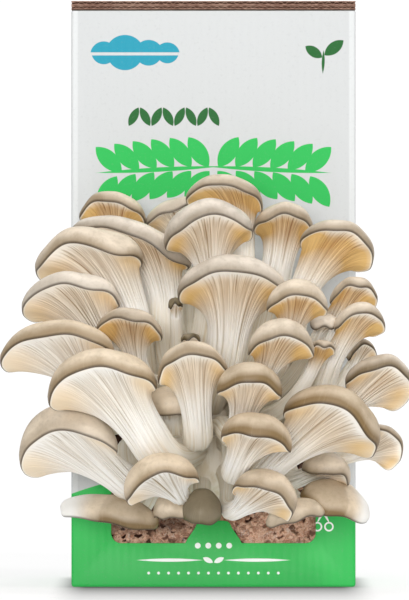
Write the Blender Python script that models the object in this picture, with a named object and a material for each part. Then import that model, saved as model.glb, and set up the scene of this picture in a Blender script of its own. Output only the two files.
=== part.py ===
"""Oyster mushroom grow kit: a carton with a window, its growing block, and a cluster of oyster mushrooms.

The front of the carton faces -Y, +X is to the right of it, and the origin is the middle of its underside.
"""

import math
from dataclasses import dataclass

import bmesh
import bpy
from mathutils import Matrix, Vector

MM = 0.001
GAP = 0.3

# Carton, in millimetres
CARTON_WIDTH = 114.0
CARTON_DEPTH = 96.0
CARTON_HEIGHT = 235.0
BOARD = 1.7
FRONT = CARTON_DEPTH / 2
FOLD_RADIUS = 1.2
FOLD_STEPS = 3
ROUND_PROFILE = 0.5

# Window in the front panel
WINDOW_HALF_WIDTH = 41.0
WINDOW_SILL = 17.6
WINDOW_TOP = 88.0
WINDOW_CORNER = 4.0
TAB_BASE = 11.3
TAB_TOP = 6.5
TAB_HEIGHT = 9.0
TAB_ROUNDING = 2.2
CORNER_CUT = 0.3
WINDOW_CUT = 3 * BOARD

# Top of the carton: an inner and an outer ply of closed flaps, with their raw edges at the front
SEAM_WIDTH = 0.4
SEAM_DEPTH = 0.6

# Fused foot of the cluster: half an egg that bulges out of the window, and the room between it and a stem
BASE_MIDDLE = (-3.0, 0.0, 58.0)
BASE_RADII = (28.0, 24.0, 27.0)
BASE_SEGMENTS = 16
BASE_RINGS = 10
FOOT_GAP = 2 * GAP


@dataclass(frozen=True)
class Mushroom:
    """One mushroom, in millimetres and degrees.

    cap: middle of the rim as (to the right, in front of the carton, up).
    size: width, depth from front to back, and height of the cap over its rim.
    turn: yaw, pitch that lifts the front edge, and roll that lowers the right edge.
    foot: where the stem leaves the base, as (degrees to the right, degrees up).
    stem: radius under the gills, and radius at the foot.
    flare: length of the gilled trumpet under the cap.
    droop: how far the two sides of the rim hang below its middle.
    seat: how far behind the cap's middle the stem sits, as a share of half the depth.
    side: how far to the right of the cap's middle the stem sits, as a share of half the width.
    hollow: how far the gills run in under the cap before they turn down, on its left and on its right.
    """

    name: str
    cap: tuple
    size: tuple
    turn: tuple
    foot: tuple
    stem: tuple
    flare: float = 16.0
    droop: float = 4.0
    seat: float = 0.35
    side: float = 0.0
    hollow: tuple = (0.45, 0.45)


MUSHROOMS = [
    Mushroom("mushroom_top_left", (-40, 16, 149), (28, 22, 7), (-12, 22, 0), (-82, 34), (3.5, 2.5)),
    Mushroom("mushroom_wavy_left", (-32, 31, 139), (52, 24, 7), (-10, 18, 17), (-46, 60), (5.5, 3.0),
             side=0.55),
    Mushroom("mushroom_top_pale", (-14, 14, 149), (29, 16, 6), (0, 20, -10), (-30, 74), (3.0, 2.4)),
    Mushroom("mushroom_top_centre", (4.5, 30, 156), (32, 24, 7), (0, 22, 6), (44, 72), (4.0, 2.6)),
    Mushroom("mushroom_upper_centre", (-2, 51, 141), (37, 30, 11.5), (0, 26, -10), (-8, 60), (5.5, 3.2)),
    Mushroom("mushroom_upper_right", (28, 28, 144.3), (25, 24, 8), (8, 22, 9), (68, 60), (5.0, 2.8)),
    Mushroom("mushroom_right_shoulder", (49, 38, 136), (32, 26, 8), (18, 28, 23), (80, 44), (5.0, 2.8),
             flare=24, side=-0.4),
    Mushroom("mushroom_left_shoulder", (-49, 42, 130), (46, 32, 11.5), (-18, 25, -9), (-64, 42), (7.0, 3.2),
             flare=22, side=0.55),
    Mushroom("mushroom_left_second", (-56, 54, 114.5), (42, 30, 9), (-20, 26, -10), (-56, 26), (5.0, 3.0),
             flare=20, side=0.4),
    Mushroom("mushroom_left_inner", (-32.8, 63.2, 104.2), (27.6, 20, 6.5), (-6, 24, 5), (-36, 42),
             (4.0, 2.8)),
    Mushroom("mushroom_left_third", (-61.3, 64.2, 94.8), (49.5, 30, 10), (-20, 28, -7), (-66, 16),
             (5.5, 3.0), flare=22, side=0.35, droop=5),
    Mushroom("mushroom_left_broad", (-43.5, 80.5, 81), (45, 34, 12.5), (-10, 27, -11), (-38, 14),
             (8.5, 4.0), flare=22, side=0.35),
    Mushroom("mushroom_between", (-18, 51, 74), (18, 16, 7), (0, -35, 0), (-24, 8), (2.6, 2.2), flare=8),
    Mushroom("mushroom_knob", (-15, 46, 112), (6, 6, 4), (0, 10, 0), (-30, 52), (2.6, 2.0),
             flare=3, droop=0),
    Mushroom("mushroom_pin", (-9, 56, 99), (8, 7, 3), (0, 5, 0), (-16, 44), (1.4, 1.2),
             flare=3, droop=0),
    Mushroom("mushroom_centre_broad", (7.5, 62.5, 119), (45, 34, 11), (2, 26, 0), (4, 42), (6.5, 3.2)),
    Mushroom("mushroom_right_inner", (32.5, 74.5, 113.5), (25, 20, 9), (6, 20, 2), (46, 40), (3.8, 2.4)),
    Mushroom("mushroom_right_amber", (26, 82, 97), (27, 22, 10), (6, 20, 2), (28, 30), (4.2, 2.6), side=-0.3),
    Mushroom("mushroom_slender", (42, 62, 95), (8, 8, 3), (10, 20, 0), (42, 22), (1.6, 1.6),
             flare=8, droop=1),
    Mushroom("mushroom_right_second", (55, 44, 117), (20, 18, 6), (20, 24, 6), (74, 34), (3.5, 2.2),
             side=-0.3),
    Mushroom("mushroom_right_lobe", (43.5, 54, 104), (11, 10, 4), (14, -20, 0), (58, 32), (2.0, 1.8),
             flare=6, droop=1),
    Mushroom("mushroom_right_third", (57, 58, 106), (21, 20, 7), (22, 24, 6), (60, 19), (3.2, 2.2),
             side=-0.45),
    Mushroom("mushroom_right_small", (58, 40, 95), (13, 12, 4), (24, 20, 0), (82, 22), (2.5, 1.8),
             flare=8),
    Mushroom("mushroom_right_wide", (64.5, 58, 81.5), (28, 28, 10), (30, 30, 24), (74, 10), (4.5, 2.6),
             side=-0.4),
    Mushroom("mushroom_centre_fan", (-8.3, 82, 88), (28.5, 28, 9), (0, 26, -7), (-8, 24), (6.0, 3.4),
             flare=22),
    Mushroom("mushroom_centre_right", (14.7, 89, 81), (24.5, 24, 11), (4, 14, 4), (12, 14), (4.5, 3.0),
             flare=20, droop=2.5),
    Mushroom("mushroom_lower_left_broad", (-57, 58.5, 57), (42, 34, 15.5), (-24, 21, -16), (-62, -2),
             (7.0, 4.0), flare=26, side=0.45, droop=7, hollow=(0.45, 0.1)),
    Mushroom("mushroom_lower_left_curled", (-20.5, 76, 43.8), (31, 24, 11), (-6, 14, -18), (-26, -5),
             (4.0, 3.0), side=0.2, hollow=(0.45, 0.2)),
    Mushroom("mushroom_bottom_left_drooping", (-41, 34.5, 29.2), (43, 24, 8), (-20, -30, 2), (-66, -34),
             (4.5, 3.0)),
    Mushroom("mushroom_bottom_left_small", (-15.8, 42, 32.2), (13, 12, 5), (-8, -40, 0), (-34, -38),
             (2.4, 2.0), flare=8),
    Mushroom("mushroom_bottom_centre", (-4.5, 54, 33.5), (16, 18, 7), (0, -50, 0), (-4, -38), (3.5, 2.4)),
    Mushroom("mushroom_lower_centre_right", (17, 89, 62), (28, 24, 10), (6, 12, 10), (20, 2), (5.3, 3.0),
             flare=20, side=-0.3, droop=3),
    Mushroom("mushroom_bottom_right_curled", (20, 74, 38.5), (27, 22, 10), (10, 14, 28), (20, -26),
             (4.0, 3.0), side=-0.2, hollow=(0.1, 0.45)),
    Mushroom("mushroom_bottom_right_small", (21.5, 48, 36), (13, 13, 5), (8, -40, 0), (38, -38), (2.4, 2.0),
             flare=8),
    Mushroom("mushroom_bottom_right_thin", (35.8, 58.4, 34.8), (16, 12, 5), (14, -34, -8), (40, -28),
             (2.4, 2.0), flare=8),
    Mushroom("mushroom_lower_right_broad", (46, 74, 66), (42, 34, 13), (18, 22, 26), (46, 2), (7.0, 3.4),
             flare=28, side=-0.4),
    Mushroom("mushroom_under_right", (45, 44, 48.7), (20, 20, 6.5), (26, -20, 14), (66, -10), (3.2, 2.2)),
    Mushroom("mushroom_bottom_right_drooping", (48.5, 43, 35.6), (30, 22, 7), (22, -32, 17), (72, -30),
             (3.5, 2.6)),
    Mushroom("mushroom_far_right_small", (66, 44, 58), (21, 17, 6), (40, 24, 50), (88, -3), (2.8, 2.0),
             flare=10),
]

# Shape of every cap and stem, as shares
RIM_CURL = 0.06
BACK_NOTCH = 0.25
DOME_FULLNESS = 0.55
DOME_RISE = 0.8
STEM_LEAN = 0.7
SEAT_DROP = 0.5
BACK_FILL = 0.9
MOST_FLARE = 0.6
NECK_HANDLE = 0.45
STEM_HANDLE = 0.4

# Places of the rings: degrees over the rim, and shares of the way down the gills and the stem
DOME_STATIONS = (14, 40, 66)
FLARE_STATIONS = (0.3, 0.65, 1.0)
STEM_STATIONS = (0.33, 0.67, 1.0)
SEGMENTS = 12


def clear_scene():
    """Remove every object that the file holds."""
    for item in list(bpy.data.objects):
        bpy.data.objects.remove(item, do_unlink=True)


def finish_material(name, colour, roughness, metallic=0.0):
    """Return a plain Principled material."""
    material = bpy.data.materials.new(name)
    material.use_nodes = True
    shader = material.node_tree.nodes["Principled BSDF"]
    shader.inputs["Base Color"].default_value = (*colour, 1.0)
    shader.inputs["Roughness"].default_value = roughness
    shader.inputs["Metallic"].default_value = metallic
    return material


def place(right, forward, up):
    """Turn a place in front of the carton into world coordinates, in millimetres."""
    return Vector((right, -FRONT - forward, up))


def bezier(points, share):
    """Return the point of a cubic curve at a share of its way."""
    first, second, third, last = points
    rest = 1.0 - share
    return (first * rest ** 3 + second * (3 * rest ** 2 * share)
            + third * (3 * rest * share ** 2) + last * share ** 3)


def bezier_direction(points, share):
    """Return the unit direction of a cubic curve at a share of its way."""
    first, second, third, last = points
    rest = 1.0 - share
    along = (second - first) * rest ** 2 + (third - second) * (2 * rest * share) + (last - third) * share ** 2
    return along.normalized()


def foot_of(mushroom):
    """Return the point on the fused base where a stem leaves it, and the direction it leaves in."""
    azimuth, elevation = (math.radians(angle) for angle in mushroom.foot)
    unit = Vector((
        math.sin(azimuth) * math.cos(elevation),
        -math.cos(azimuth) * math.cos(elevation),
        math.sin(elevation),
    ))
    point = Vector([unit[axis] * BASE_RADII[axis] for axis in range(3)])
    normal = Vector([unit[axis] / BASE_RADII[axis] for axis in range(3)]).normalized()
    return place(*BASE_MIDDLE) + point + normal * FOOT_GAP, normal


class MushroomShape:
    """The surface of one mushroom, as rings from the top of the cap to the foot of the stem."""

    def __init__(self, mushroom):
        self.mushroom = mushroom
        yaw, pitch, roll = (math.radians(angle) for angle in mushroom.turn)
        self.frame = (Matrix.Rotation(yaw, 3, "Z") @ Matrix.Rotation(roll, 3, "Y")
                      @ Matrix.Rotation(-pitch, 3, "X"))
        self.middle = place(*mushroom.cap)
        self.half_width = mushroom.size[0] / 2
        self.half_depth = mushroom.size[1] / 2
        self.height = mushroom.size[2]
        foot, normal = foot_of(mushroom)
        seat = Vector((mushroom.side * self.half_width, mushroom.seat * self.half_depth, 0.0))
        self.seat = self.middle + self.frame @ seat
        upright = self.frame @ Vector((0, 0, 1))
        rise = (self.seat - foot).normalized()
        self.grow = (rise * STEM_LEAN + upright * (1.0 - STEM_LEAN)).normalized()
        self.seat -= upright * (SEAT_DROP * mushroom.stem[0] * math.sin(self.grow.angle(upright)))
        reach = (self.seat - foot).length
        self.flare = min(mushroom.flare, reach * MOST_FLARE)
        self.neck = self.seat - self.grow * self.flare
        handle = (self.neck - foot).length * STEM_HANDLE
        self.path = (self.neck, self.neck - self.grow * handle, foot + normal * handle, foot)
        across = self.frame @ Vector((1, 0, 0))
        self.across = (across - self.grow * across.dot(self.grow)).normalized()
        self.back = self.grow.cross(self.across).normalized()

    def cap_point(self, angle, radial, lift):
        """Return a point of the cap, from its share of the rim's radius and its lift over the rim."""
        cosine = math.cos(angle)
        sine = math.sin(angle)
        notch = 1.0 - BACK_NOTCH * max(0.0, sine) ** 2
        sag = -self.mushroom.droop * (radial * cosine) ** 2
        local = Vector((
            self.half_width * radial * cosine,
            self.half_depth * radial * sine * notch,
            lift + sag,
        ))
        return self.middle + self.frame @ local

    def dome_ring(self, station, segments):
        """Return a ring over the rim; station is an angle from 0 at the rim to 90 at the top."""
        rise = math.radians(station)
        radial = math.cos(rise) ** DOME_FULLNESS
        lift = self.height * math.sin(rise) ** DOME_RISE
        return [self.cap_point(math.tau * index / segments, radial, lift) for index in range(segments)]

    def rim_ring(self, segments):
        """Return the lowest edge of the cap, which curls in."""
        return [self.cap_point(math.tau * index / segments, 1.0 - RIM_CURL, 0.0) for index in range(segments)]

    def neck_point(self, angle):
        """Return a point of the ring where the gills end."""
        radius = self.mushroom.stem[0]
        return self.neck + self.across * (radius * math.cos(angle)) + self.back * (radius * math.sin(angle))

    def flare_ring(self, share, segments):
        """Return a ring of the gilled underside, from 0 at the rim to 1 at the neck."""
        left, right = self.mushroom.hollow
        ring = []
        for index in range(segments):
            angle = math.tau * index / segments
            rim = self.cap_point(angle, 1.0 - RIM_CURL, 0.0)
            neck = self.neck_point(angle)
            hollow = left + (right - left) * (1.0 + math.cos(angle)) / 2
            inward = rim.lerp(self.seat, hollow * (1.0 - BACK_FILL * max(0.0, math.sin(angle))))
            upward = neck + self.grow * (self.flare * NECK_HANDLE)
            ring.append(bezier((rim, inward, upward, neck), share))
        return ring

    def stem_ring(self, share, segments):
        """Return a ring of the stem, from 0 at the neck to 1 at the foot."""
        start = self.grow
        along = -bezier_direction(self.path, share)
        turn = start.rotation_difference(along).to_matrix()
        across = turn @ self.across
        back = turn @ self.back
        centre = bezier(self.path, share)
        radius = self.mushroom.stem[0] + (self.mushroom.stem[1] - self.mushroom.stem[0]) * share
        ring = []
        for index in range(segments):
            angle = math.tau * index / segments
            ring.append(centre + across * (radius * math.cos(angle)) + back * (radius * math.sin(angle)))
        return ring

    def rings(self, segments):
        """Return the top pole, all rings from the top down, and the foot pole."""
        top = self.cap_point(0.0, 0.0, self.height)
        rings = [self.dome_ring(station, segments) for station in reversed(DOME_STATIONS)]
        rings.append(self.rim_ring(segments))
        rings += [self.flare_ring(share, segments) for share in FLARE_STATIONS]
        rings += [self.stem_ring(share, segments) for share in STEM_STATIONS]
        return top, rings, self.path[3]


def link_mesh(name, mesh_maker, material, smooth=True):
    """Make an object from a function that fills a bmesh in millimetres."""
    shape = bmesh.new()
    mesh_maker(shape)
    bmesh.ops.scale(shape, vec=(MM, MM, MM), verts=shape.verts)
    bmesh.ops.recalc_face_normals(shape, faces=shape.faces)
    mesh = bpy.data.meshes.new(name)
    shape.to_mesh(mesh)
    shape.free()
    mesh.materials.append(material)
    if smooth:
        mesh.shade_smooth()
    item = bpy.data.objects.new(name, mesh)
    bpy.context.scene.collection.objects.link(item)
    return item


def fill_tube(shape, top, rings, bottom):
    """Fill a bmesh with a closed tube from its rings and its two poles."""
    top_vert = shape.verts.new(top)
    ring_verts = [[shape.verts.new(point) for point in ring] for ring in rings]
    bottom_vert = shape.verts.new(bottom)
    count = len(rings[0])
    for index in range(count):
        after = (index + 1) % count
        shape.faces.new((top_vert, ring_verts[0][index], ring_verts[0][after]))
        shape.faces.new((bottom_vert, ring_verts[-1][after], ring_verts[-1][index]))
        for upper, lower in zip(ring_verts, ring_verts[1:]):
            shape.faces.new((upper[index], lower[index], lower[after], upper[after]))


def make_mushroom(mushroom, material):
    """Make one mushroom."""
    shape = MushroomShape(mushroom)
    top, rings, bottom = shape.rings(SEGMENTS)
    return link_mesh(mushroom.name, lambda mesh: fill_tube(mesh, top, rings, bottom), material)


def fill_block(shape, low, high):
    """Fill a bmesh with a plain block between two corners, and return its edges."""
    bmesh.ops.create_cube(shape, size=1.0)
    for vert in shape.verts:
        vert.co = Vector([low[axis] if vert.co[axis] < 0 else high[axis] for axis in range(3)])
    return shape.edges[:]


def window_outline():
    """Return the outline of the window, with its tab, as points (right, up)."""
    side = WINDOW_HALF_WIDTH
    corner = WINDOW_CORNER
    cut_off = WINDOW_CORNER * CORNER_CUT
    sill = WINDOW_SILL
    crest = sill + TAB_HEIGHT
    half = [
        (TAB_TOP - TAB_ROUNDING, crest),
        (TAB_TOP, crest - TAB_ROUNDING / 2),
        (TAB_TOP + TAB_ROUNDING / 2, crest - TAB_ROUNDING * 1.5),
        (TAB_BASE, sill),
        (side - corner, sill),
        (side - cut_off, sill + cut_off),
        (side, sill + corner),
        (side, WINDOW_TOP - corner),
        (side - cut_off, WINDOW_TOP - cut_off),
        (side - corner, WINDOW_TOP),
    ]
    return half + [(-right, up) for right, up in reversed(half)]


def make_cutter(name, mesh_maker, material):
    """Make an object that only cuts others."""
    cutter = link_mesh(name, mesh_maker, material, smooth=False)
    cutter.hide_render = True
    cutter.display_type = "WIRE"
    return cutter


def cut(item, cutter):
    """Cut one object out of another."""
    modifier = item.modifiers.new("cut", "BOOLEAN")
    modifier.operation = "DIFFERENCE"
    modifier.solver = "EXACT"
    modifier.object = cutter


def make_carton():
    """Make the carton: a closed box of board with a window in its front and folded flaps on top."""
    board = finish_material("printed_board", (0.80, 0.81, 0.81), 0.6)
    half_width = CARTON_WIDTH / 2
    lid = CARTON_HEIGHT - 2 * BOARD

    def fill_outside(shape):
        edges = fill_block(shape, (-half_width, -FRONT, 0.0), (half_width, FRONT, CARTON_HEIGHT))
        folds = [edge for edge in edges if abs(edge.verts[0].co.z - edge.verts[1].co.z) > BOARD]
        bmesh.ops.bevel(
            shape, geom=folds, offset=FOLD_RADIUS, offset_type="OFFSET", segments=FOLD_STEPS,
            profile=ROUND_PROFILE, affect="EDGES")

    def fill_inside(shape):
        fill_block(
            shape, (BOARD - half_width, BOARD - FRONT, BOARD), (half_width - BOARD, FRONT - BOARD, lid))

    def fill_window(shape):
        near = [shape.verts.new((right, -FRONT - BOARD, up)) for right, up in window_outline()]
        moved = bmesh.ops.extrude_face_region(shape, geom=[shape.faces.new(near)])
        corners = [item for item in moved["geom"] if isinstance(item, bmesh.types.BMVert)]
        bmesh.ops.translate(shape, vec=(0, WINDOW_CUT, 0), verts=corners)

    carton = link_mesh("carton", fill_outside, board, smooth=False)
    cut(carton, make_cutter("cutter_inside", fill_inside, board))
    cut(carton, make_cutter("cutter_window", fill_window, board))
    for ply in (1, 2):
        middle = CARTON_HEIGHT - ply * BOARD

        def fill_seam(shape):
            fill_block(
                shape,
                (-CARTON_WIDTH, -CARTON_WIDTH, middle - SEAM_WIDTH / 2),
                (CARTON_WIDTH, SEAM_DEPTH - FRONT, middle + SEAM_WIDTH / 2))

        cut(carton, make_cutter(f"cutter_seam_{ply}", fill_seam, board))
    return carton


def make_growing_block():
    """Make the growing block that fills the carton."""
    crumb = finish_material("pressed_sawdust", (0.52, 0.33, 0.24), 0.9)
    side = CARTON_WIDTH / 2 - BOARD - GAP
    depth = FRONT - BOARD - GAP
    top = CARTON_HEIGHT - 2 * BOARD - GAP
    return link_mesh(
        "growing_block",
        lambda shape: fill_block(shape, (-side, -depth, BOARD + GAP), (side, depth, top)),
        crumb, smooth=False)


def make_stem_base():
    """Make the fused foot of the cluster, a half egg with its flat back on the block."""
    flesh = finish_material("mushroom_flesh", (0.80, 0.76, 0.68), 0.55)
    back = -FRONT + BOARD

    def fill(shape):
        bmesh.ops.create_uvsphere(shape, u_segments=BASE_SEGMENTS, v_segments=BASE_RINGS, radius=1.0)
        bmesh.ops.scale(shape, vec=BASE_RADII, verts=shape.verts)
        bmesh.ops.translate(shape, vec=place(*BASE_MIDDLE), verts=shape.verts)
        geometry = shape.verts[:] + shape.edges[:] + shape.faces[:]
        cut_result = bmesh.ops.bisect_plane(
            shape, geom=geometry, plane_co=(0, back, 0), plane_no=(0, 1, 0), clear_outer=True)
        edges = [item for item in cut_result["geom_cut"] if isinstance(item, bmesh.types.BMEdge)]
        bmesh.ops.holes_fill(shape, edges=edges)

    return link_mesh("stem_base", fill, flesh)


def main():
    """Build the grow kit."""
    clear_scene()
    make_carton()
    make_growing_block()
    make_stem_base()
    for mushroom in MUSHROOMS:
        flesh = finish_material(mushroom.name + "_flesh", (0.72, 0.66, 0.55), 0.5)
        make_mushroom(mushroom, flesh)


if __name__ == "__main__":
    main()
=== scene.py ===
"""Looks of an oyster mushroom grow kit: printed carton, growing block and cluster of gilled mushrooms.

Pieces are modelled in millimetres and turned into metres when they are finished. The front of the carton
faces -Y, +X is to the right of it, and the origin is the middle of its underside, as in the frame.
"""

import logging
import math
from dataclasses import dataclass
from enum import Enum
from typing import Iterable, Sequence

import bpy
import numpy as np
from bpy.types import ID, Material, Mesh, Node, NodeSocket, Object
from mathutils import Matrix, Vector


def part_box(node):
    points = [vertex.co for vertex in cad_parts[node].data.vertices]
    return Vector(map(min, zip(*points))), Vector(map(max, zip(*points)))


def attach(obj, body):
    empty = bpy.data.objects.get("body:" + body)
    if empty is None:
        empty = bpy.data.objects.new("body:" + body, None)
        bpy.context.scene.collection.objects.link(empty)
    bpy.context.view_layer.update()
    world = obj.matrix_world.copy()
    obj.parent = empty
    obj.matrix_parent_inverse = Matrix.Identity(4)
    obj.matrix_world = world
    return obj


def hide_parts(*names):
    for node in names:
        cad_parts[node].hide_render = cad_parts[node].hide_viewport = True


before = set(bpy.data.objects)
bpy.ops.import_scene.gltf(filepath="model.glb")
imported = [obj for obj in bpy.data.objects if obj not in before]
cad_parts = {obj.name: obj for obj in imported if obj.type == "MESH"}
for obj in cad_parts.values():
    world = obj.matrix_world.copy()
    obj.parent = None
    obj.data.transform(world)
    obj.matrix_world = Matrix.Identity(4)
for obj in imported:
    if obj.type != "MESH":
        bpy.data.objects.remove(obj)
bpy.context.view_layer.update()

log = logging.getLogger("grow_kit")

MM = 0.001
BODY = "root"

# Driving dimensions, read from the frame in millimetres
CARTON_LOW, CARTON_HIGH = (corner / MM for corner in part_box("carton"))
HALF_WIDTH = CARTON_HIGH.x
FRONT = -CARTON_LOW.y
TOP = CARTON_HIGH.z
BOARD = 1.7
FLUTE_PITCH = 3.2

# Window in the front panel
WINDOW_HALF_WIDTH = 41.0
WINDOW_SILL = 17.6
WINDOW_TOP = 88.0

# Fused foot of the cluster
BASE_MIDDLE = (-3.0, 0.0, 58.0)
BASE_RADII = (28.0, 24.0, 27.0)
FOOT_GAP = 0.6

# Shape of every cap and stem, as shares
RIM_CURL = 0.06
BACK_NOTCH = 0.25
DOME_FULLNESS = 0.55
DOME_RISE = 0.8
STEM_LEAN = 0.7
SEAT_DROP = 0.5
BACK_FILL = 0.9
MOST_FLARE = 0.6
NECK_HANDLE = 0.45
STEM_HANDLE = 0.4


# Shader maths


class Number:
    """One number of a material. Arithmetic on it adds Math nodes."""

    def __init__(self, graph: "Graph", socket: NodeSocket) -> None:
        """Wrap a socket.

        Args:
            graph: the material that the socket is in.
            socket: the output socket that holds the number.
        """
        self.graph = graph
        self.socket = socket

    def apply(self, operation: str, *others: "Number | float", reverse: bool = False) -> "Number":
        """Add one Math node.

        Args:
            operation: the node's operation.
            others: the other values.
            reverse: whether the first other value comes before this one.

        Returns:
            The result.
        """
        values = [self, *others]
        if reverse:
            values.reverse()
        return self.graph.math(operation, *values)

    def __add__(self, other: "Number | float") -> "Number":
        """Return self + other."""
        return self.apply("ADD", other)

    def __radd__(self, other: float) -> "Number":
        """Return other + self."""
        return self.apply("ADD", other)

    def __sub__(self, other: "Number | float") -> "Number":
        """Return self - other."""
        return self.apply("SUBTRACT", other)

    def __rsub__(self, other: float) -> "Number":
        """Return other - self."""
        return self.apply("SUBTRACT", other, reverse=True)

    def __mul__(self, other: "Number | float") -> "Number":
        """Return self * other."""
        return self.apply("MULTIPLY", other)

    def __rmul__(self, other: float) -> "Number":
        """Return other * self."""
        return self.apply("MULTIPLY", other)

    def __truediv__(self, other: "Number | float") -> "Number":
        """Return self / other."""
        return self.apply("DIVIDE", other)

    def __abs__(self) -> "Number":
        """Return the size without its sign."""
        return self.apply("ABSOLUTE")

    def least(self, other: "Number | float") -> "Number":
        """Return the smaller of two."""
        return self.apply("MINIMUM", other)

    def most(self, other: "Number | float") -> "Number":
        """Return the larger of two."""
        return self.apply("MAXIMUM", other)

    def sine(self) -> "Number":
        """Return the sine."""
        return self.apply("SINE")

    def fade(self, length: float) -> "Number":
        """Return 1 where the number is 0, and less as it grows, down to about a third at a length."""
        return (self * (-1.0 / length)).apply("EXPONENT")

    def rise(self, low: float, high: float) -> "Number":
        """Return a smooth step, 0 at low and 1 at high.

        Args:
            low: where the step starts.
            high: where it ends, which may be under low for a falling step.

        Returns:
            The step, from 0 to 1.
        """
        sign = 1.0 if high > low else -1.0
        node = self.graph.node(
            "ShaderNodeMapRange", {"interpolation_type": "SMOOTHSTEP"},
            {"Value": self * sign, "From Min": low * sign, "From Max": high * sign})
        return Number(self.graph, node.outputs["Result"])


Colour = tuple[float, float, float]


def screen_colour(red: int, green: int, blue: int) -> Colour:
    """Turn a colour as seen on a screen, from 0 to 255, into linear light."""
    return tuple(((part / 255 + 0.055) / 1.055) ** 2.4 if part > 10 else part / 3295
                 for part in (red, green, blue))


class Graph:
    """A material under construction, with its Principled shader."""

    def __init__(self, name: str, roughness: float, **constants: float) -> None:
        """Start a material.

        Args:
            name: the material's name.
            roughness: its roughness where nothing is linked.
            constants: other values of the shader, with _ in place of a space.
        """
        self.material = bpy.data.materials.new(name)
        self.material.use_nodes = True
        self.tree = self.material.node_tree
        self.shader = self.tree.nodes["Principled BSDF"]
        self.shader.inputs["Roughness"].default_value = roughness
        for key, value in constants.items():
            self.shader.inputs[key.replace("_", " ")].default_value = value
        self.place = self.node("ShaderNodeTexCoord").outputs["Object"]

    def node(self, kind: str, settings: dict | None = None, inputs: dict | None = None) -> Node:
        """Add a node.

        Args:
            kind: the node's type.
            settings: its properties.
            inputs: a value or a link for each of its sockets, by name or by number.

        Returns:
            The node.
        """
        node = self.tree.nodes.new(kind)
        for key, value in (settings or {}).items():
            setattr(node, key, value)
        for key, value in (inputs or {}).items():
            self.feed(node.inputs[key], value)
        return node

    def feed(self, socket: NodeSocket, value: object) -> None:
        """Link a value to a socket, or set the socket to it.

        Args:
            socket: an input socket.
            value: a number, a colour or a link.
        """
        if isinstance(value, Number):
            value = value.socket
        if isinstance(value, NodeSocket):
            self.tree.links.new(value, socket)
        elif isinstance(value, tuple) and socket.type == "RGBA":
            socket.default_value = (*value, 1.0)
        else:
            socket.default_value = value

    def math(self, operation: str, *values: Number | float) -> Number:
        """Add a Math node and return its result."""
        node = self.node("ShaderNodeMath", {"operation": operation}, dict(enumerate(values)))
        return Number(self, node.outputs[0])

    def parts(self, vector: NodeSocket) -> tuple[Number, Number, Number]:
        """Return the three parts of a vector."""
        node = self.node("ShaderNodeSeparateXYZ", None, {0: vector})
        return tuple(Number(self, socket) for socket in node.outputs)

    def join(self, x: Number | float, y: Number | float, z: Number | float) -> NodeSocket:
        """Return a vector made of three numbers."""
        return self.node("ShaderNodeCombineXYZ", None, {0: x, 1: y, 2: z}).outputs[0]

    def stretch(self, vector: NodeSocket, factors: Sequence[float]) -> NodeSocket:
        """Return a vector with each part multiplied."""
        node = self.node("ShaderNodeVectorMath", {"operation": "MULTIPLY"}, {0: vector, 1: tuple(factors)})
        return node.outputs[0]

    def millimetres(self) -> tuple[Number, Number, Number]:
        """Return the place in millimetres: to the right, to the back and up."""
        return self.parts(self.stretch(self.place, (1 / MM,) * 3))

    def distance(self, vector: NodeSocket, point: Sequence[float]) -> Number:
        """Return how far a vector is from a fixed point."""
        node = self.node("ShaderNodeVectorMath", {"operation": "DISTANCE"}, {0: vector, 1: tuple(point)})
        return Number(self, node.outputs["Value"])

    def attribute(self, name: str) -> Number:
        """Return a number that the mesh holds."""
        return Number(self, self.node("ShaderNodeAttribute", {"attribute_name": name}).outputs["Fac"])

    def attribute_vector(self, name: str) -> NodeSocket:
        """Return a vector that the mesh holds."""
        return self.node("ShaderNodeAttribute", {"attribute_name": name}).outputs["Vector"]

    def noise(self, vector: NodeSocket, scale: float, detail: float = 2.0, distortion: float = 0.0) -> Number:
        """Return soft noise around 0.5.

        Args:
            vector: the place.
            scale: how fine it is.
            detail: how many finer layers are added.
            distortion: how much it is twisted.

        Returns:
            The noise.
        """
        node = self.node("ShaderNodeTexNoise", None, {
            "Vector": vector, "Scale": scale, "Detail": detail, "Distortion": distortion})
        return Number(self, node.outputs[0])

    def mix(self, factor: Number | float, first: object, second: object) -> NodeSocket:
        """Mix two colours.

        Args:
            factor: 0 for the first, 1 for the second.
            first: a colour or a link.
            second: a colour or a link.

        Returns:
            The colour.
        """
        settings = {"data_type": "RGBA", "blend_type": "MIX", "clamp_factor": True}
        return self.node("ShaderNodeMix", settings, {0: factor, 6: first, 7: second}).outputs[2]

    def bump(self, height: Number, depth: float, strength: float = 1.0,
             under: NodeSocket | None = None) -> NodeSocket:
        """Add a Bump node.

        Args:
            height: the height, from 0 to 1.
            depth: how deep that is, in millimetres.
            strength: how much of it shows.
            under: the normal of a coarser relief below it.

        Returns:
            The bumped normal.
        """
        inputs = {"Height": height, "Distance": depth * MM, "Strength": strength}
        if under is not None:
            inputs["Normal"] = under
        return self.node("ShaderNodeBump", None, inputs).outputs["Normal"]

    def finish(self, colour: object, roughness: Number | None = None,
               normal: NodeSocket | None = None) -> Material:
        """Link the shader and return the material.

        Args:
            colour: the base colour, fixed or linked.
            roughness: the roughness, if it varies.
            normal: the bumped normal, if there is one.

        Returns:
            The material.
        """
        self.feed(self.shader.inputs["Base Color"], colour)
        if roughness is not None:
            self.feed(self.shader.inputs["Roughness"], roughness)
        if normal is not None:
            self.feed(self.shader.inputs["Normal"], normal)
        return self.material


# Finishes


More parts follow.
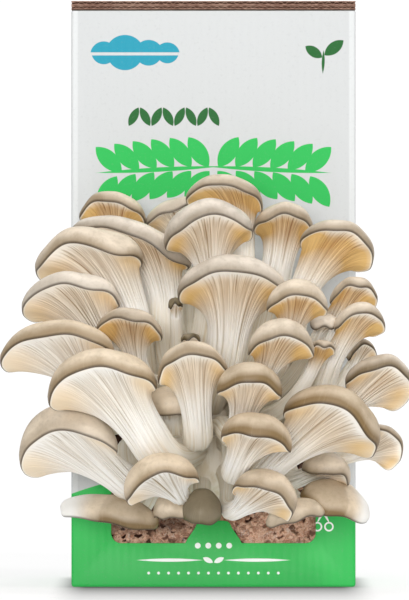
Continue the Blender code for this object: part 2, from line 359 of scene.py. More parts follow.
class Panel:
    """The carton's front as a flat sheet to draw on. A shape is the signed distance to its edge."""

    def __init__(self, graph: Graph, right: Number, up: Number) -> None:
        """Lay the sheet out.

        Args:
            graph: the material that it is drawn in.
            right: millimetres to the right, or away from the middle for a mirrored drawing.
            up: millimetres up.
        """
        self.graph = graph
        self.flat = graph.join(right, 0.0, up)

    def disc(self, middle: tuple[float, float], radius: float) -> Number:
        """Return a disc."""
        return self.graph.distance(self.flat, (middle[0], 0.0, middle[1])) - radius

    def leaf(self, middle: tuple[float, float], size: tuple[float, float], turn: float) -> Number:
        """Return a pointed leaf, where two discs overlap, or a tapered stroke if it is thin.

        Args:
            middle: its middle, to the right and up.
            size: its length and width.
            turn: degrees from lying level.

        Returns:
            The distance, under 0 inside.
        """
        half_length, half_width = size[0] / 2, size[1] / 2
        radius = (half_length ** 2 + half_width ** 2) / (2 * half_width)
        offset = radius - half_width
        angle = math.radians(turn + 90.0)
        shift = (math.cos(angle) * offset, math.sin(angle) * offset)
        near = self.graph.distance(self.flat, (middle[0] + shift[0], 0.0, middle[1] + shift[1]))
        far = self.graph.distance(self.flat, (middle[0] - shift[0], 0.0, middle[1] - shift[1]))
        return near.most(far) - radius


@dataclass(frozen=True)
class PrintedBoard:
    """Matt printed board: light grey over a green foot with an arched edge, and plain garden motifs, with a
    painted highlight along the front's side folds and a painted shadow line under the flaps.

    Places on the front are in millimetres, to the right of its middle and up from its foot.
    """

    paper: Colour = screen_colour(199, 201, 201)
    # folded: the paler colour of a painted highlight along the front's rounded side folds
    folded: Colour = screen_colour(216, 218, 218)
    clouded: Colour = (0.66, 0.68, 0.70)
    speckled: Colour = (0.25, 0.26, 0.26)
    # creased: the colour of a painted shadow line just under the flaps
    flap_shadow_colour: Colour = screen_colour(64, 60, 44)
    green: Colour = screen_colour(43, 184, 82)
    leaf_green: Colour = screen_colour(26, 180, 78)
    dark_green: Colour = screen_colour(4, 92, 26)
    teal: Colour = screen_colour(10, 146, 170)
    white: Colour = screen_colour(250, 254, 250)
    arch_middle: float = -118.0
    arch_radius: float = 165.5
    side_band: float = 37.4
    soft_edge: float = 0.12
    fold_highlight_band: float = 2.2
    garland_up: float = 168.0
    leaf_row_up: float = 188.6
    sprout_foot: tuple[float, float] = (44.0, 206.5)
    sprout_height: float = 13.5
    shore: float = 213.8
    shore_gap: float = 0.6
    hill_sizes: tuple[tuple[float, float], ...] = ((-44.0, 5.4), (-35.5, 8.0), (-26.0, 6.0), (-18.5, 5.0))
    scissors_middle: tuple[float, float] = (44.0, 24.2)

    def ink(self, shapes: Iterable[Number]) -> Number:
        """Return where any of several shapes is printed, with a soft edge.

        Args:
            shapes: the shapes.

        Returns:
            The print, from 0 to 1.
        """
        nearest = None
        for shape in shapes:
            nearest = shape if nearest is None else nearest.least(shape)
        return nearest.rise(self.soft_edge, -self.soft_edge)

    def garland(self, panel: Panel) -> list[Number]:
        """Return the large garland of leaves across the panel, drawn mirrored.

        Args:
            panel: the sheet to draw on, mirrored.

        Returns:
            Its shapes.
        """
        shapes = [panel.leaf((22.0, self.garland_up - 0.6), (50.0, 1.8), -3.0)]
        for step in range(6):
            share = step / 5
            right = 6.0 + 36.0 * share
            up = self.garland_up - 3.0 * share ** 2
            turn = -12.0 * share
            shapes.append(panel.leaf((right, up + 6.4), (14.5, 6.8), 56.0 + turn))
            shapes.append(panel.leaf((right + 0.6, up - 6.4), (14.5, 6.8), -46.0 + turn))
        return shapes

    def leaf_row(self, panel: Panel) -> list[Number]:
        """Return the row of small leaves that lean to and fro.

        Args:
            panel: the sheet to draw on.

        Returns:
            Its shapes.
        """
        return [panel.leaf((4.6 * step - 32.0, self.leaf_row_up), (8.4, 3.4), 62.0 - 124.0 * (step % 2))
                for step in range(8)]

    def sprout(self, panel: Panel) -> list[Number]:
        """Return the two-leaved seedling.

        Args:
            panel: the sheet to draw on.

        Returns:
            Its shapes.
        """
        (right, up), size = self.sprout_foot, self.sprout_height
        return [
            panel.leaf((right, up + size * 0.3), (size * 0.7, size * 0.09), 88.0),
            panel.leaf((right + size * 0.32, up + size * 0.72), (size * 0.72, size * 0.34), 38.0),
            panel.leaf((right - size * 0.28, up + size * 0.6), (size * 0.6, size * 0.3), 146.0),
        ]

    def hills(self, panel: Panel, up: Number) -> Number:
        """Return the row of round hills, and below a thin gap their reflection in water.

        Args:
            panel: the sheet to draw on.
            up: millimetres up.

        Returns:
            The print, from 0 to 1.
        """
        hills = self.ink(panel.disc((right, self.shore - 0.4), radius) for right, radius in self.hill_sizes)
        waves = self.ink(panel.disc((right, self.shore + 0.8), radius * 0.92)
                         for right, radius in self.hill_sizes)
        land, water = self.shore + self.shore_gap, self.shore - self.shore_gap
        soft = self.soft_edge
        return hills * up.rise(land - soft, land + soft) + waves * up.rise(water + soft, water - soft)

    def beads(self, panel: Panel) -> list[Number]:
        """Return the beads, the rule and the small leaves on the green foot, drawn mirrored.

        Args:
            panel: the sheet to draw on, mirrored.

        Returns:
            Their shapes.
        """
        shapes = [panel.disc((2.1 + 4.2 * step, 16.6), 1.15) for step in range(2)]
        shapes += [panel.disc((2.0 + 4.0 * step, 5.6), 0.55) for step in range(7)]
        shapes += [panel.leaf((17.5, 10.8), (26.0, 1.3), 0.0), panel.leaf((2.2, 10.8), (4.4, 2.0), 26.0)]
        return shapes

    def scissors(self, panel: Panel) -> list[Number]:
        """Return the small pair of scissors beside the window.

        Args:
            panel: the sheet to draw on.

        Returns:
            Its shapes.
        """
        right, up = self.scissors_middle
        rings = [abs(panel.disc((right + side * 2.3, up), 1.6)) - 0.32 for side in (-1, 1)]
        return rings + [
            panel.leaf((right - 0.6, up + 5.0), (8.4, 0.95), 62.0),
            panel.leaf((right + 0.6, up + 5.0), (8.4, 0.95), 118.0),
        ]

    def material(self) -> Material:
        """Make the printed board.

        Returns:
            The material.
        """
        graph = Graph("printed_board", 0.55, Specular_IOR_Level=0.35)
        right, back, up = graph.millimetres()
        panel, mirrored = Panel(graph, right, up), Panel(graph, abs(right), up)
        front = back.rise(0.6 - FRONT, 0.3 - FRONT)
        arch = panel.disc((0.0, self.arch_middle), self.arch_radius)
        band = up.rise(self.side_band + self.soft_edge, self.side_band - self.soft_edge)
        foot = front * self.ink([arch]) + (1.0 - front) * band

        speck = graph.noise(graph.place, 900.0, 3.0)
        cloud = graph.noise(graph.place, 22.0, 3.0)
        # painted highlight: paler in a band along each rounded side fold of the front
        fold = abs(right).rise(HALF_WIDTH - self.fold_highlight_band - 0.8, HALF_WIDTH - self.fold_highlight_band) * front
        colour = graph.mix(fold * 0.8, self.paper, self.folded)
        colour = graph.mix((cloud - 0.5).most(0.0) * 0.25, colour, self.clouded)
        colour = graph.mix(foot, colour, self.green)
        for printed, ink in (
                (self.ink(self.garland(mirrored)), self.leaf_green),
                (self.ink(self.leaf_row(panel) + self.sprout(panel)), self.dark_green),
                (self.hills(panel, up), self.teal),
                (self.ink(self.beads(mirrored) + self.scissors(panel)), self.white)):
            colour = graph.mix(front * printed, colour, ink)
        colour = graph.mix(speck.rise(0.55, 0.75) * 0.10, colour, self.speckled)
        # painted shadow: a dark line along the top of the shell's front and sides, just under the flaps
        flap_shadow = back.rise(FRONT - 0.5, FRONT - 1.5)
        flap_shadow *= up.rise(TOP - 2 * BOARD - 0.65, TOP - 2 * BOARD - 0.35)
        flap_shadow *= up.rise(TOP - BOARD, TOP - 1.5 * BOARD)
        colour = graph.mix(flap_shadow * 0.9, colour, self.flap_shadow_colour)

        flutes = (right * (math.tau / FLUTE_PITCH)).sine()
        washboard = graph.bump(flutes * 0.5 + 0.5, 0.035)
        grain = graph.bump(speck, 0.04, 0.6, washboard)
        return graph.finish(colour, 0.5 + 0.14 * speck - 0.1 * foot, grain)


@dataclass(frozen=True)
class Kraft:
    """Raw brown board, as on cut edges and on the inside of the carton, with painted shade in the flaps away
    from their front and side edges.
    """

    light: Colour = screen_colour(178, 142, 124)
    dark: Colour = screen_colour(122, 88, 74)
    blotted: Colour = screen_colour(200, 170, 150)
    # hidden: the colour of painted shade in the set-back edges of the flaps
    recess_shade: Colour = screen_colour(64, 40, 28)

    def material(self) -> Material:
        """Make the raw board.

        Returns:
            The material.
        """
        graph = Graph("raw_board", 0.85, Specular_IOR_Level=0.2)
        fibres = graph.noise(graph.stretch(graph.place, (500.0, 500.0, 2600.0)), 1.0, 4.0)
        blots = graph.noise(graph.place, 180.0, 2.0)
        colour = graph.mix(fibres.rise(0.35, 0.68), self.dark, self.light)
        colour = graph.mix(blots.rise(0.45, 0.75) * 0.35, colour, self.blotted)
        right, back, up = graph.millimetres()
        # painted shade: darker in the flaps a little way in from their front and side edges, between the
        # liners
        inward = (back + FRONT).least(HALF_WIDTH - abs(right))
        recess = inward.rise(0.15, 0.7) * up.rise(TOP - 2.2 * BOARD, TOP - 2.0 * BOARD)
        colour = graph.mix(recess * 0.8, colour, self.recess_shade)
        return graph.finish(colour, None, graph.bump(fibres, 0.12))


@dataclass(frozen=True)
class Crumb:
    """Pressed sawdust and hulls, knit by pale threads, with painted shade in its holes and cracks, behind the
    cluster and under the left caps.
    """

    pale: Colour = screen_colour(238, 202, 178)
    pink: Colour = screen_colour(212, 160, 130)
    brown: Colour = screen_colour(138, 84, 56)
    # dark: the colour of painted shade in the holes, behind the cluster and under the left caps
    dark: Colour = screen_colour(58, 30, 20)
    amber: Colour = screen_colour(206, 144, 88)
    thread: Colour = screen_colour(240, 226, 218)

    def material(self) -> Material:
        """Make the pressed sawdust.

        Returns:
            The material.
        """
        graph = Graph("pressed_sawdust", 0.85, Specular_IOR_Level=0.25)
        pit = graph.attribute("pit")
        kind = graph.attribute("kind")
        fine = graph.noise(graph.place, 1500.0, 3.0)
        patch = graph.noise(graph.place, 70.0, 3.0)
        right, _, up = graph.millimetres()
        colour = graph.mix(fine.rise(0.30, 0.60), self.pink, self.pale)
        colour = graph.mix(kind.rise(0.55, 0.65) * 0.5, colour, self.brown)
        colour = graph.mix(patch.rise(0.48, 0.60) * up.rise(24.0, 34.0) * 0.5, colour, self.amber)
        # painted shade: darker the deeper a hole or crack between crumbs
        colour = graph.mix(pit.rise(0.35, 0.7) * (0.35 + 0.65 * patch.rise(0.35, 0.55)), colour, self.dark)
        threads = graph.noise(graph.place, 240.0, 4.0, 1.5).rise(0.58, 0.70) * up.rise(34.0, 22.0) * 0.6
        colour = graph.mix(threads, colour, self.thread)
        # painted shade: the face above about 40 mm up is dark, where the cluster covers it
        colour = graph.mix(up.rise(34.0, 46.0) * 0.85, colour, self.dark)
        # painted shadow of the left caps: darker on the left of the face, a little above the sill
        colour = graph.mix(right.rise(-6.0, -14.0) * up.rise(19.5, 25.0) * 0.6, colour, self.dark)
        return graph.finish(colour, None, graph.bump(fine, 0.35))


@dataclass(frozen=True)
class Tint:
    """How one mushroom differs from the others, as shares.

    grey: how grey its cap is, instead of warm.
    dark: how dark its cap is, or how white if it is under 0.
    amber: how amber its gills are near the rim, as painted warm shade under the cap.
    """

    grey: float
    dark: float
    amber: float


class Tone(Enum):
    """The looks that the mushrooms of the cluster have."""

    PEARL = Tint(0.60, -0.20, 0.30)
    SAND = Tint(0.10, -0.15, 0.15)
    LILAC = Tint(0.80, 0.10, 0.55)
    BEIGE = Tint(0.30, 0.25, 0.42)
    AMBER = Tint(0.40, 0.25, 1.00)
    WARM = Tint(0.00, 0.35, 0.12)
    HAZEL = Tint(0.10, 0.62, 0.45)
    TAUPE = Tint(0.60, 0.45, 0.50)
    OLIVE = Tint(1.00, 0.85, 0.30)


class FleshGraph(Graph):
    """The material of mushroom flesh under construction, with the patterns that its colours are mixed by.

    The mesh gives the distance from the rim in millimetres (under 0 on the cap), the reach of the rim's
    band (1 on a broad cap), the way down (1 at the neck and 2 at the foot), the depth between the gills,
    the way round and the tint.
    """

    def __init__(self) -> None:
        """Read what the mesh holds, and add the noises."""
        super().__init__("mushroom_flesh", 0.5, Specular_IOR_Level=0.4, Subsurface_Weight=0.04,
                         Subsurface_Scale=0.001)
        self.shader.inputs["Subsurface Radius"].default_value = (1.0, 0.8, 0.6)
        self.from_rim, self.reach, self.down, self.hollow = (
            self.attribute(name) for name in ("from_rim", "reach", "down", "hollow"))
        self.grey, self.dark, self.amber = self.parts(self.attribute_vector("tint"))
        self.around = self.attribute_vector("around")
        self.mottle = self.noise(self.place, 130.0, 4.0)
        self.cloud = self.noise(self.place, 45.0, 2.0)
        self.grain = self.noise(self.place, 650.0, 3.0)
        self.fibre = self.noise(self.stretch(self.around, (26.0, 26.0, 1.4)), 1.0, 3.0)
        self.streaks = self.noise(self.stretch(self.around, (9.0, 9.0, 0.8)), 1.0, 3.0)
        self.broad = self.noise(self.stretch(self.around, (3.4, 3.4, 0.5)), 1.0, 2.0).rise(0.38, 0.66)
        # valley: painted shade in the grooves between the gills, darker in deeper grooves
        uneven = 0.2 + 0.35 * self.streaks.rise(0.36, 0.64) + 0.15 * self.broad
        self.valley = self.hollow.rise(0.25, 0.85) * uneven


@dataclass(frozen=True)
class Flesh:
    """Mushroom flesh: satin caps with a dark rim line, gills from white to amber, and fibrous stems, with
    painted shade along the cap rims, in and under the gills and at the stems' feet.
    """

    cap_warm: Colour = screen_colour(226, 208, 182)
    cap_grey: Colour = screen_colour(223, 213, 201)
    # band colours: the cap's darker margin, partly its own colour and partly painted shade
    band_warm: Colour = screen_colour(130, 105, 68)
    band_grey: Colour = screen_colour(110, 98, 78)
    olive: Colour = screen_colour(104, 90, 54)
    line: Colour = screen_colour(52, 38, 22)
    lip: Colour = screen_colour(244, 236, 222)
    gill: Colour = screen_colour(252, 250, 245)
    # gill_amber, groove and groove_amber: warm and dark colours of painted shade in the gills
    gill_amber: Colour = screen_colour(232, 194, 126)
    groove: Colour = screen_colour(158, 140, 108)
    groove_amber: Colour = screen_colour(150, 98, 44)
    stem: Colour = screen_colour(248, 243, 232)
    streak: Colour = screen_colour(224, 208, 178)

    def cap_colour(self, graph: FleshGraph) -> NodeSocket:
        """Return the cap's colour, pale on top, with a dark band and a thin line along the rim, both partly
        the cap's own darker margin and partly painted shade.

        Args:
            graph: the flesh.

        Returns:
            The colour.
        """
        dark = graph.dark
        top = graph.mix(graph.grey, self.cap_warm, self.cap_grey)
        band = graph.mix(graph.grey, self.band_warm, self.band_grey)
        # the dark band along the rim is partly the cap's own darker margin and partly painted shade where the
        # cap turns down
        from_top = graph.from_rim / graph.reach + (graph.cloud - 0.5) * 6.0
        shade = from_top.rise(-6.5, -1.0) * (0.62 + 0.38 * dark)
        shade += dark * 0.12 + dark.rise(0.42, 0.65) * 0.24
        colour = graph.mix(shade.least(1.0), top, band)
        colour = graph.mix(dark.rise(0.68, 0.9) * 0.85, colour, self.olive)
        specks = graph.mottle.rise(0.42, 0.68) * 0.26 + graph.grain.rise(0.46, 0.7) * 0.12
        colour = graph.mix(specks, colour, band)
        colour = graph.mix(graph.fibre.rise(0.5, 0.75) * 0.06, colour, self.cap_warm)
        # towards white where the tint is under 0: the pale tones' own colour, and the painted highlight at a
        # cap's paler end
        colour = graph.mix(dark.rise(0.1, -1.5) * 0.95, colour, self.gill)
        # the thin dark line at the rim: partly the cap's own dark edge, partly painted shadow under the
        # rolled rim
        return graph.mix(graph.from_rim.rise(-1.7, -0.4) * 0.8, colour, self.line)

    def gill_colour(self, graph: FleshGraph) -> NodeSocket:
        """Return the gills' colour: pale crests over darker grooves, and amber under the cap and on the side
        lobes, the grooves and the amber being painted shade.

        Args:
            graph: the flesh.

        Returns:
            The colour.
        """
        down, amber = graph.down, graph.amber
        sideways, _, _ = graph.parts(graph.around)
        # painted warm shade: amber on the underside's side lobes
        lobes = abs(sideways).rise(0.4, 0.95) * down.rise(0.6, 0.1)
        # painted shade: under the cap, between the rim and the neck, the gills turn amber and darker
        painted_cap_shade = down.rise(0.03, 0.24) * down.rise(0.85, 0.35)
        patches = 0.12 + 0.3 * graph.cloud.rise(0.36, 0.62) + 0.55 * painted_cap_shade
        amber_here = amber * patches * down.rise(0.95, 0.3) + (0.45 + 0.25 * amber) * lobes
        crest = graph.mix(amber_here, self.gill, self.gill_amber)
        groove = graph.mix(amber_here, self.groove, self.groove_amber)
        between = 0.05 + 0.5 * painted_cap_shade * (0.35 + 0.9 * amber).least(0.9)
        between += 0.14 * graph.broad * down.rise(0.05, 0.3)
        crests = graph.fibre.rise(0.47, 0.6) * (0.85 - 0.3 * amber)
        # painted shade in the grooves between the gills and in the zone under the cap
        ribs = between * (1.0 - crests) + graph.valley * (1.1 - 0.4 * amber)
        return graph.mix((ribs * (1.0 - 0.75 * lobes)).least(0.95), crest, groove)

    def stem_colour(self, graph: FleshGraph) -> NodeSocket:
        """Return the stem's colour, with fine streaks, painted shade at its foot and painted shade in its
        grooves.

        Args:
            graph: the flesh.

        Returns:
            The colour.
        """
        streaks = graph.streaks.rise(0.42, 0.72) * 0.7 + graph.fibre.rise(0.5, 0.74) * 0.3
        colour = graph.mix(streaks, self.stem, self.streak)
        # painted shade: darker towards the foot, deep in the cluster
        colour = graph.mix(graph.down.rise(1.6, 2.0) * 0.3, colour, self.groove)
        return graph.mix(graph.valley * 0.5, colour, self.groove)

    def material(self) -> Material:
        """Make the flesh.

        Returns:
            The material.
        """
        graph = FleshGraph()
        from_rim = graph.from_rim
        under = graph.mix(graph.down.rise(0.8, 1.2), self.gill_colour(graph), self.stem_colour(graph))
        under = graph.mix(from_rim.rise(0.8, 0.2) * 0.7, under, self.lip)
        colour = graph.mix(from_rim.rise(-0.25, 0.05), self.cap_colour(graph), under)
        roughness = 0.62 - 0.24 * from_rim.rise(0.0, -0.6) + 0.12 * graph.mottle
        fibres = graph.bump(graph.fibre, 0.12, 0.7)
        skin = graph.bump(graph.noise(graph.place, 700.0, 3.0), 0.06, 0.5, fibres)
        return graph.finish(colour, roughness, skin)


# The mushrooms, as (to the right, in front of the carton, up)


@dataclass(frozen=True)
class Mushroom:
    """One mushroom, in millimetres and degrees, as in the frame's construction.

    cap: middle of the rim.
    size: width, depth from front to back, and height of the cap over its rim.
    turn: yaw, pitch that lifts the front edge, and roll that lowers the right edge.
    foot: where the stem leaves the base, as (degrees to the right, degrees up).
    stem: radius under the gills, and radius at the foot.
    tone: how it is coloured.
    flare: length of the gilled trumpet under the cap.
    droop: how far the two sides of the rim hang below its middle.
    seat: how far behind the cap's middle the stem sits, as a share of half the depth.
    side: how far to the right of the cap's middle the stem sits, as a share of half the width.
    hollow: how far the gills run in under the cap before they turn down, on its left and on its right.
    wave: how far the rim waves up and down.
    folds: single swells of the rim, as (degrees from its right end by the front, width in degrees, lift).
    swell: how much thicker the foot of the stem is than in the frame, where the stems fuse.
    shade: painted highlight and shade across the cap: how much paler it is at its left end, with a darker
    right end, or under 0 the other way.
    taper: how much narrower the cap is at its left end, as a share, or under 0 at its right end.
    """

    name: str
    cap: tuple[float, float, float]
    size: tuple[float, float, float]
    turn: tuple[float, float, float]
    foot: tuple[float, float]
    stem: tuple[float, float]
    tone: Tone
    flare: float = 16.0
    droop: float = 4.0
    seat: float = 0.35
    side: float = 0.0
    hollow: tuple[float, float] = (0.45, 0.45)
    wave: float = 1.0
    folds: tuple[tuple[float, float, float], ...] = ()
    swell: float = 1.5
    shade: float = 0.0
    taper: float = 0.0


MUSHROOMS = [
    Mushroom("top_left", (-40, 16, 149.5), (28, 22, 7), (-12, 27, 0), (-82, 34), (3.5, 2.5), Tone.AMBER),
    Mushroom("wavy_left", (-32, 31, 137.5), (52, 24, 8), (-10, 18, 17), (-46, 60), (7.5, 3.0), Tone.LILAC,
             side=0.55, wave=0.8, swell=3.0, folds=((52, 22, -2.5), (120, 18, 0.8))),
    Mushroom("top_pale", (-14, 14, 149), (29, 16, 6), (0, 20, -10), (-30, 74), (3.0, 2.4), Tone.PEARL),
    Mushroom("top_centre", (4.5, 30, 156), (32, 24, 7), (0, 22, 6), (70, 60), (5.0, 2.6), Tone.AMBER,
             side=0.5, swell=2.4),
    Mushroom("upper_centre", (-2, 51, 141), (37, 30, 11.5), (0, 26, -10), (-8, 60), (5.5, 3.2), Tone.LILAC,
             swell=2.0, folds=((40, 22, -1.0), (75, 20, 1.0)), shade=-0.3),
    Mushroom("upper_right", (28, 28, 144.3), (25, 24, 8), (8, 22, 9), (78, 60), (6.4, 2.8), Tone.AMBER,
             side=0.1, swell=3.0),
    Mushroom("right_shoulder", (49, 38, 136), (32, 26, 8), (18, 28, 23), (84, 40), (5.6, 2.8), Tone.AMBER,
             flare=24, side=-0.45, swell=2.6, shade=-0.3),
    Mushroom("left_shoulder", (-49, 42, 130), (46, 32, 11.5), (-18, 25, -9), (-64, 42), (7.0, 3.2),
             Tone.BEIGE, flare=22, side=0.55, swell=2.0, folds=((52, 24, -3.0), (100, 25, 1.5)), shade=0.25),
    Mushroom("left_second", (-56, 54, 114.5), (42, 30, 9), (-20, 26, -10), (-56, 26), (5.0, 3.0), Tone.PEARL,
             flare=20, side=0.4, swell=1.8, folds=((50, 24, -1.5), (100, 25, 1.0))),
    Mushroom("left_inner", (-32.8, 63.2, 104.2), (27.6, 20, 6.5), (-6, 24, 5), (-36, 42), (4.0, 2.8),
             Tone.AMBER),
    Mushroom("left_third", (-60.8, 64.2, 94.8), (48.9, 30, 10), (-20, 28, -7), (-66, 16), (5.5, 3.0),
             Tone.WARM, flare=22, side=0.35, droop=5),
    Mushroom("left_broad", (-43.5, 80.5, 81), (45, 34, 12.5), (-10, 27, -11), (-14, -4), (8.5, 4.0),
             Tone.WARM, flare=22, side=0.35, swell=1.8, folds=((50, 20, -1.5), (95, 20, 1.0))),
    Mushroom("between", (-17, 51, 73.8), (21, 17, 7), (0, -30, 6), (-24, 4), (4.6, 2.4), Tone.SAND, flare=8,
             swell=3.0, shade=-0.6),
    Mushroom("knob", (-15, 46, 112), (6, 6, 4), (0, 10, 0), (-30, 52), (2.6, 2.0), Tone.OLIVE, flare=3,
             droop=0),
    Mushroom("pin", (-9, 56, 99), (8, 7, 3), (0, 5, 0), (-16, 44), (1.4, 1.2), Tone.OLIVE, flare=3, droop=0),
    Mushroom("centre_broad", (7.5, 62.5, 119), (45, 34, 11), (2, 26, 0), (4, 42), (8.0, 3.2), Tone.LILAC,
             swell=2.2, folds=((40, 25, -1.5), (110, 22, 0.8)), shade=-0.3),
    Mushroom("right_inner", (32.5, 74.5, 113.5), (25, 20, 9), (6, 20, 2), (46, 40), (3.8, 2.4), Tone.AMBER,
             shade=-0.4),
    Mushroom("right_amber", (26, 82, 97), (27, 22, 10), (6, 20, 2), (28, 30), (4.2, 2.6), Tone.AMBER,
             side=-0.3, shade=-0.2),
    Mushroom("slender", (42, 66, 95.5), (11, 10, 3.5), (10, 20, 4), (36, 16), (2.8, 1.6), Tone.AMBER,
             flare=12, droop=1, swell=2.6),
    Mushroom("right_second", (55, 44, 117), (20, 18, 6), (20, 24, 6), (84, 30), (4.8, 2.2), Tone.AMBER,
             side=-0.5, swell=2.6, shade=0.3),
    Mushroom("right_lobe", (43.5, 54, 105.5), (12, 11, 4), (14, -20, 0), (58, 32), (2.4, 1.8), Tone.PEARL,
             flare=6, droop=1, swell=2.4),
    Mushroom("right_third", (57, 58, 106), (21, 20, 7), (22, 24, 6), (80, 14), (4.4, 2.2), Tone.AMBER,
             side=-0.5, swell=3.0, shade=0.3),
    Mushroom("right_small", (58, 40, 95), (13, 12, 4), (24, 20, 0), (82, 22), (2.5, 1.8), Tone.TAUPE,
             flare=8),
    Mushroom("right_wide", (64.5, 58, 81.5), (28, 28, 10), (30, 30, 24), (74, 10), (4.5, 2.6), Tone.TAUPE,
             side=-0.4, shade=-0.2),
    Mushroom("centre_fan", (-8.3, 82, 88), (28.5, 28, 9), (0, 26, -7), (-8, 10), (6.0, 3.4), Tone.BEIGE,
             flare=22, swell=1.7),
    Mushroom("centre_right", (13.8, 88.3, 80.5), (26.5, 24, 10), (4, 12, 4), (12, 14), (4.8, 3.0), Tone.HAZEL,
             flare=20, droop=3),
    Mushroom("lower_left_broad", (-57, 58.5, 57), (42, 34, 15.5), (-24, 21, -16), (-62, -2), (7.0, 4.0),
             Tone.SAND, flare=26, side=0.45, droop=7, hollow=(0.45, 0.1), swell=2.0, folds=((60, 25, 1.5),),
             shade=-0.2),
    Mushroom("lower_left_curled", (-20.5, 76, 43.8), (31, 24, 11), (-6, 14, -18), (-26, -5), (4.0, 3.0),
             Tone.WARM, side=0.2, hollow=(0.45, 0.2)),
    Mushroom("bottom_left_drooping", (-41.5, 34.5, 31), (43, 21, 6.5), (-20, -30, 7), (-66, -34), (4.5, 3.0),
             Tone.HAZEL, wave=1.2, swell=2.2, folds=((180, 30, 1.6), (112, 14, 1.0)), shade=3.0, taper=0.35),
    Mushroom("bottom_left_small", (-16.5, 42, 33), (16, 13, 6), (-8, -40, 0), (-34, -38), (2.8, 2.0),
             Tone.SAND, flare=8, swell=2.4),
    Mushroom("bottom_centre", (-4.5, 54, 33.5), (16, 18, 7), (0, -50, 0), (-4, -38), (3.5, 2.4), Tone.OLIVE),
    Mushroom("lower_centre_right", (16.5, 88.2, 61.5), (29, 24, 9.5), (6, 12, 9), (20, 2), (5.3, 3.0),
             Tone.HAZEL, flare=20, side=-0.3, droop=2, swell=1.8, folds=((24, 22, -3.0), (95, 40, -2.2))),
    Mushroom("bottom_right_curled", (20, 74, 38.5), (27, 22, 10), (10, 14, 28), (20, -26), (4.0, 3.0),
             Tone.BEIGE, side=-0.2, hollow=(0.1, 0.45)),
    Mushroom("bottom_right_small", (21.5, 48, 36), (13, 13, 5), (8, -40, 0), (38, -38), (2.4, 2.0),
             Tone.OLIVE, flare=8),
    Mushroom("bottom_right_thin", (32, 58, 32), (25, 12, 5), (14, -34, -12), (40, -28), (3.0, 2.0), Tone.SAND,
             flare=8, swell=2.4),
    Mushroom("lower_right_broad", (46, 74, 66), (42, 34, 13), (18, 20, 27), (46, 2), (7.0, 3.4), Tone.HAZEL,
             flare=28, side=-0.4, swell=2.0, folds=((58, 26, -2.6), (125, 25, 0.8))),
    Mushroom("under_right", (45, 44, 48.7), (21, 20, 6.5), (26, -18, 14), (66, -10), (3.6, 2.2), Tone.BEIGE,
             swell=2.6, shade=-0.2),
    Mushroom("bottom_right_drooping", (48.5, 43, 35.5), (31, 24, 7), (22, -34, 17), (72, -30), (3.5, 2.6),
             Tone.HAZEL, wave=1.3, swell=2.6, shade=-3.0),
    Mushroom("far_right_small", (66, 44, 58), (21, 17, 6), (40, 24, 50), (88, -3), (2.8, 2.0), Tone.BEIGE,
             flare=10),
]


@dataclass(frozen=True)
class Groove:
    """One set of grooves between gills.

    stride: how many gills apart they are.
    first: the first gill that has one.
    ends: where the shortest and the longest of them end, as ways down.
    narrow: their width at the rim, in gills.
    wide: their width at the neck, in gills.
    """

    stride: int
    first: int
    ends: tuple[float, float]
    narrow: float
    wide: float


GROOVES = (
    Groove(4, 0, (1.0, 1.35), 0.3, 1.0),
    Groove(4, 2, (0.8, 1.2), 0.3, 0.6),
    Groove(2, 1, (0.3, 0.75), 0.28, 0.3),
)

# How fine the mushrooms are
GILL_SPACING = 1.4
GILL_DEPTH = 0.9
VERTS_PER_GILL = 3
FEWEST_GILLS = 16
DOME_RINGS = 12
LIP_RINGS = 5
FLARE_RINGS = 18
STEM_RINGS = 13
HIGHEST_DOME = 88.0
LOWEST_DOME = 14.0
FLARE_CROWDING = 1.15
FOOT_SINK = 4.0

# How uneven they are, as shares
RIM_NICKS = 0.012
STEM_RIDGES = 0.04
SMOOTH_LOBES = 0.65
TINT_SPREAD = 0.16
DARKEST_SHADE = 0.12

# Half the width from which a cap has gills of full depth and a full band along its rim
BROAD_CAP = 16.0


def smooth_step(values: np.ndarray | float, low: float, high: float) -> np.ndarray:
    """Return a smooth step, 0 at low and 1 at high, for an array."""
    share = np.clip((np.asarray(values, float) - low) / (high - low), 0.0, 1.0)
    return share * share * (3.0 - 2.0 * share)


def bezier(points: Sequence[np.ndarray], share: float) -> np.ndarray:
    """Return the point of a cubic curve, or of an array of them, at a share of its way.

    Args:
        points: the four points that the curve runs by.
        share: the share of its way, from 0 to 1.

    Returns:
        The point.
    """
    rest = 1.0 - share
    first, second, third, last = points
    return (first * rest ** 3 + second * (3 * rest ** 2 * share)
            + third * (3 * rest * share ** 2) + last * share ** 3)


def place(right: float, forward: float, up: float) -> Vector:
    """Turn a place in front of the carton into the frame's own axes, in millimetres."""
    return Vector((right, -FRONT - forward, up))


def base_point(azimuth: float, elevation: float) -> tuple[Vector, Vector]:
    """Return a point on the fused base and its outward direction.

    Args:
        azimuth: degrees to the right.
        elevation: degrees up.

    Returns:
        The point and the direction.
    """
    turn, lift = math.radians(azimuth), math.radians(elevation)
    unit = (math.sin(turn) * math.cos(lift), -math.cos(turn) * math.cos(lift), math.sin(lift))
    point = Vector([part * radius for part, radius in zip(unit, BASE_RADII)])
    normal = Vector([part / radius for part, radius in zip(unit, BASE_RADII)]).normalized()
    return place(*BASE_MIDDLE) + point, normal


def deselect() -> None:
    """Leave object mode and deselect everything."""
    if bpy.context.object and bpy.context.object.mode != "OBJECT":
        bpy.ops.object.mode_set(mode="OBJECT")
    bpy.ops.object.select_all(action="DESELECT")


def add_object(name: str, data: ID) -> Object:
    """Put an object that holds a mesh, a camera or a light into the scene.

    Args:
        name: its name.
        data: what it holds.

    Returns:
        The object.
    """
    item = bpy.data.objects.new(name, data)
    bpy.context.scene.collection.objects.link(item)
    return item


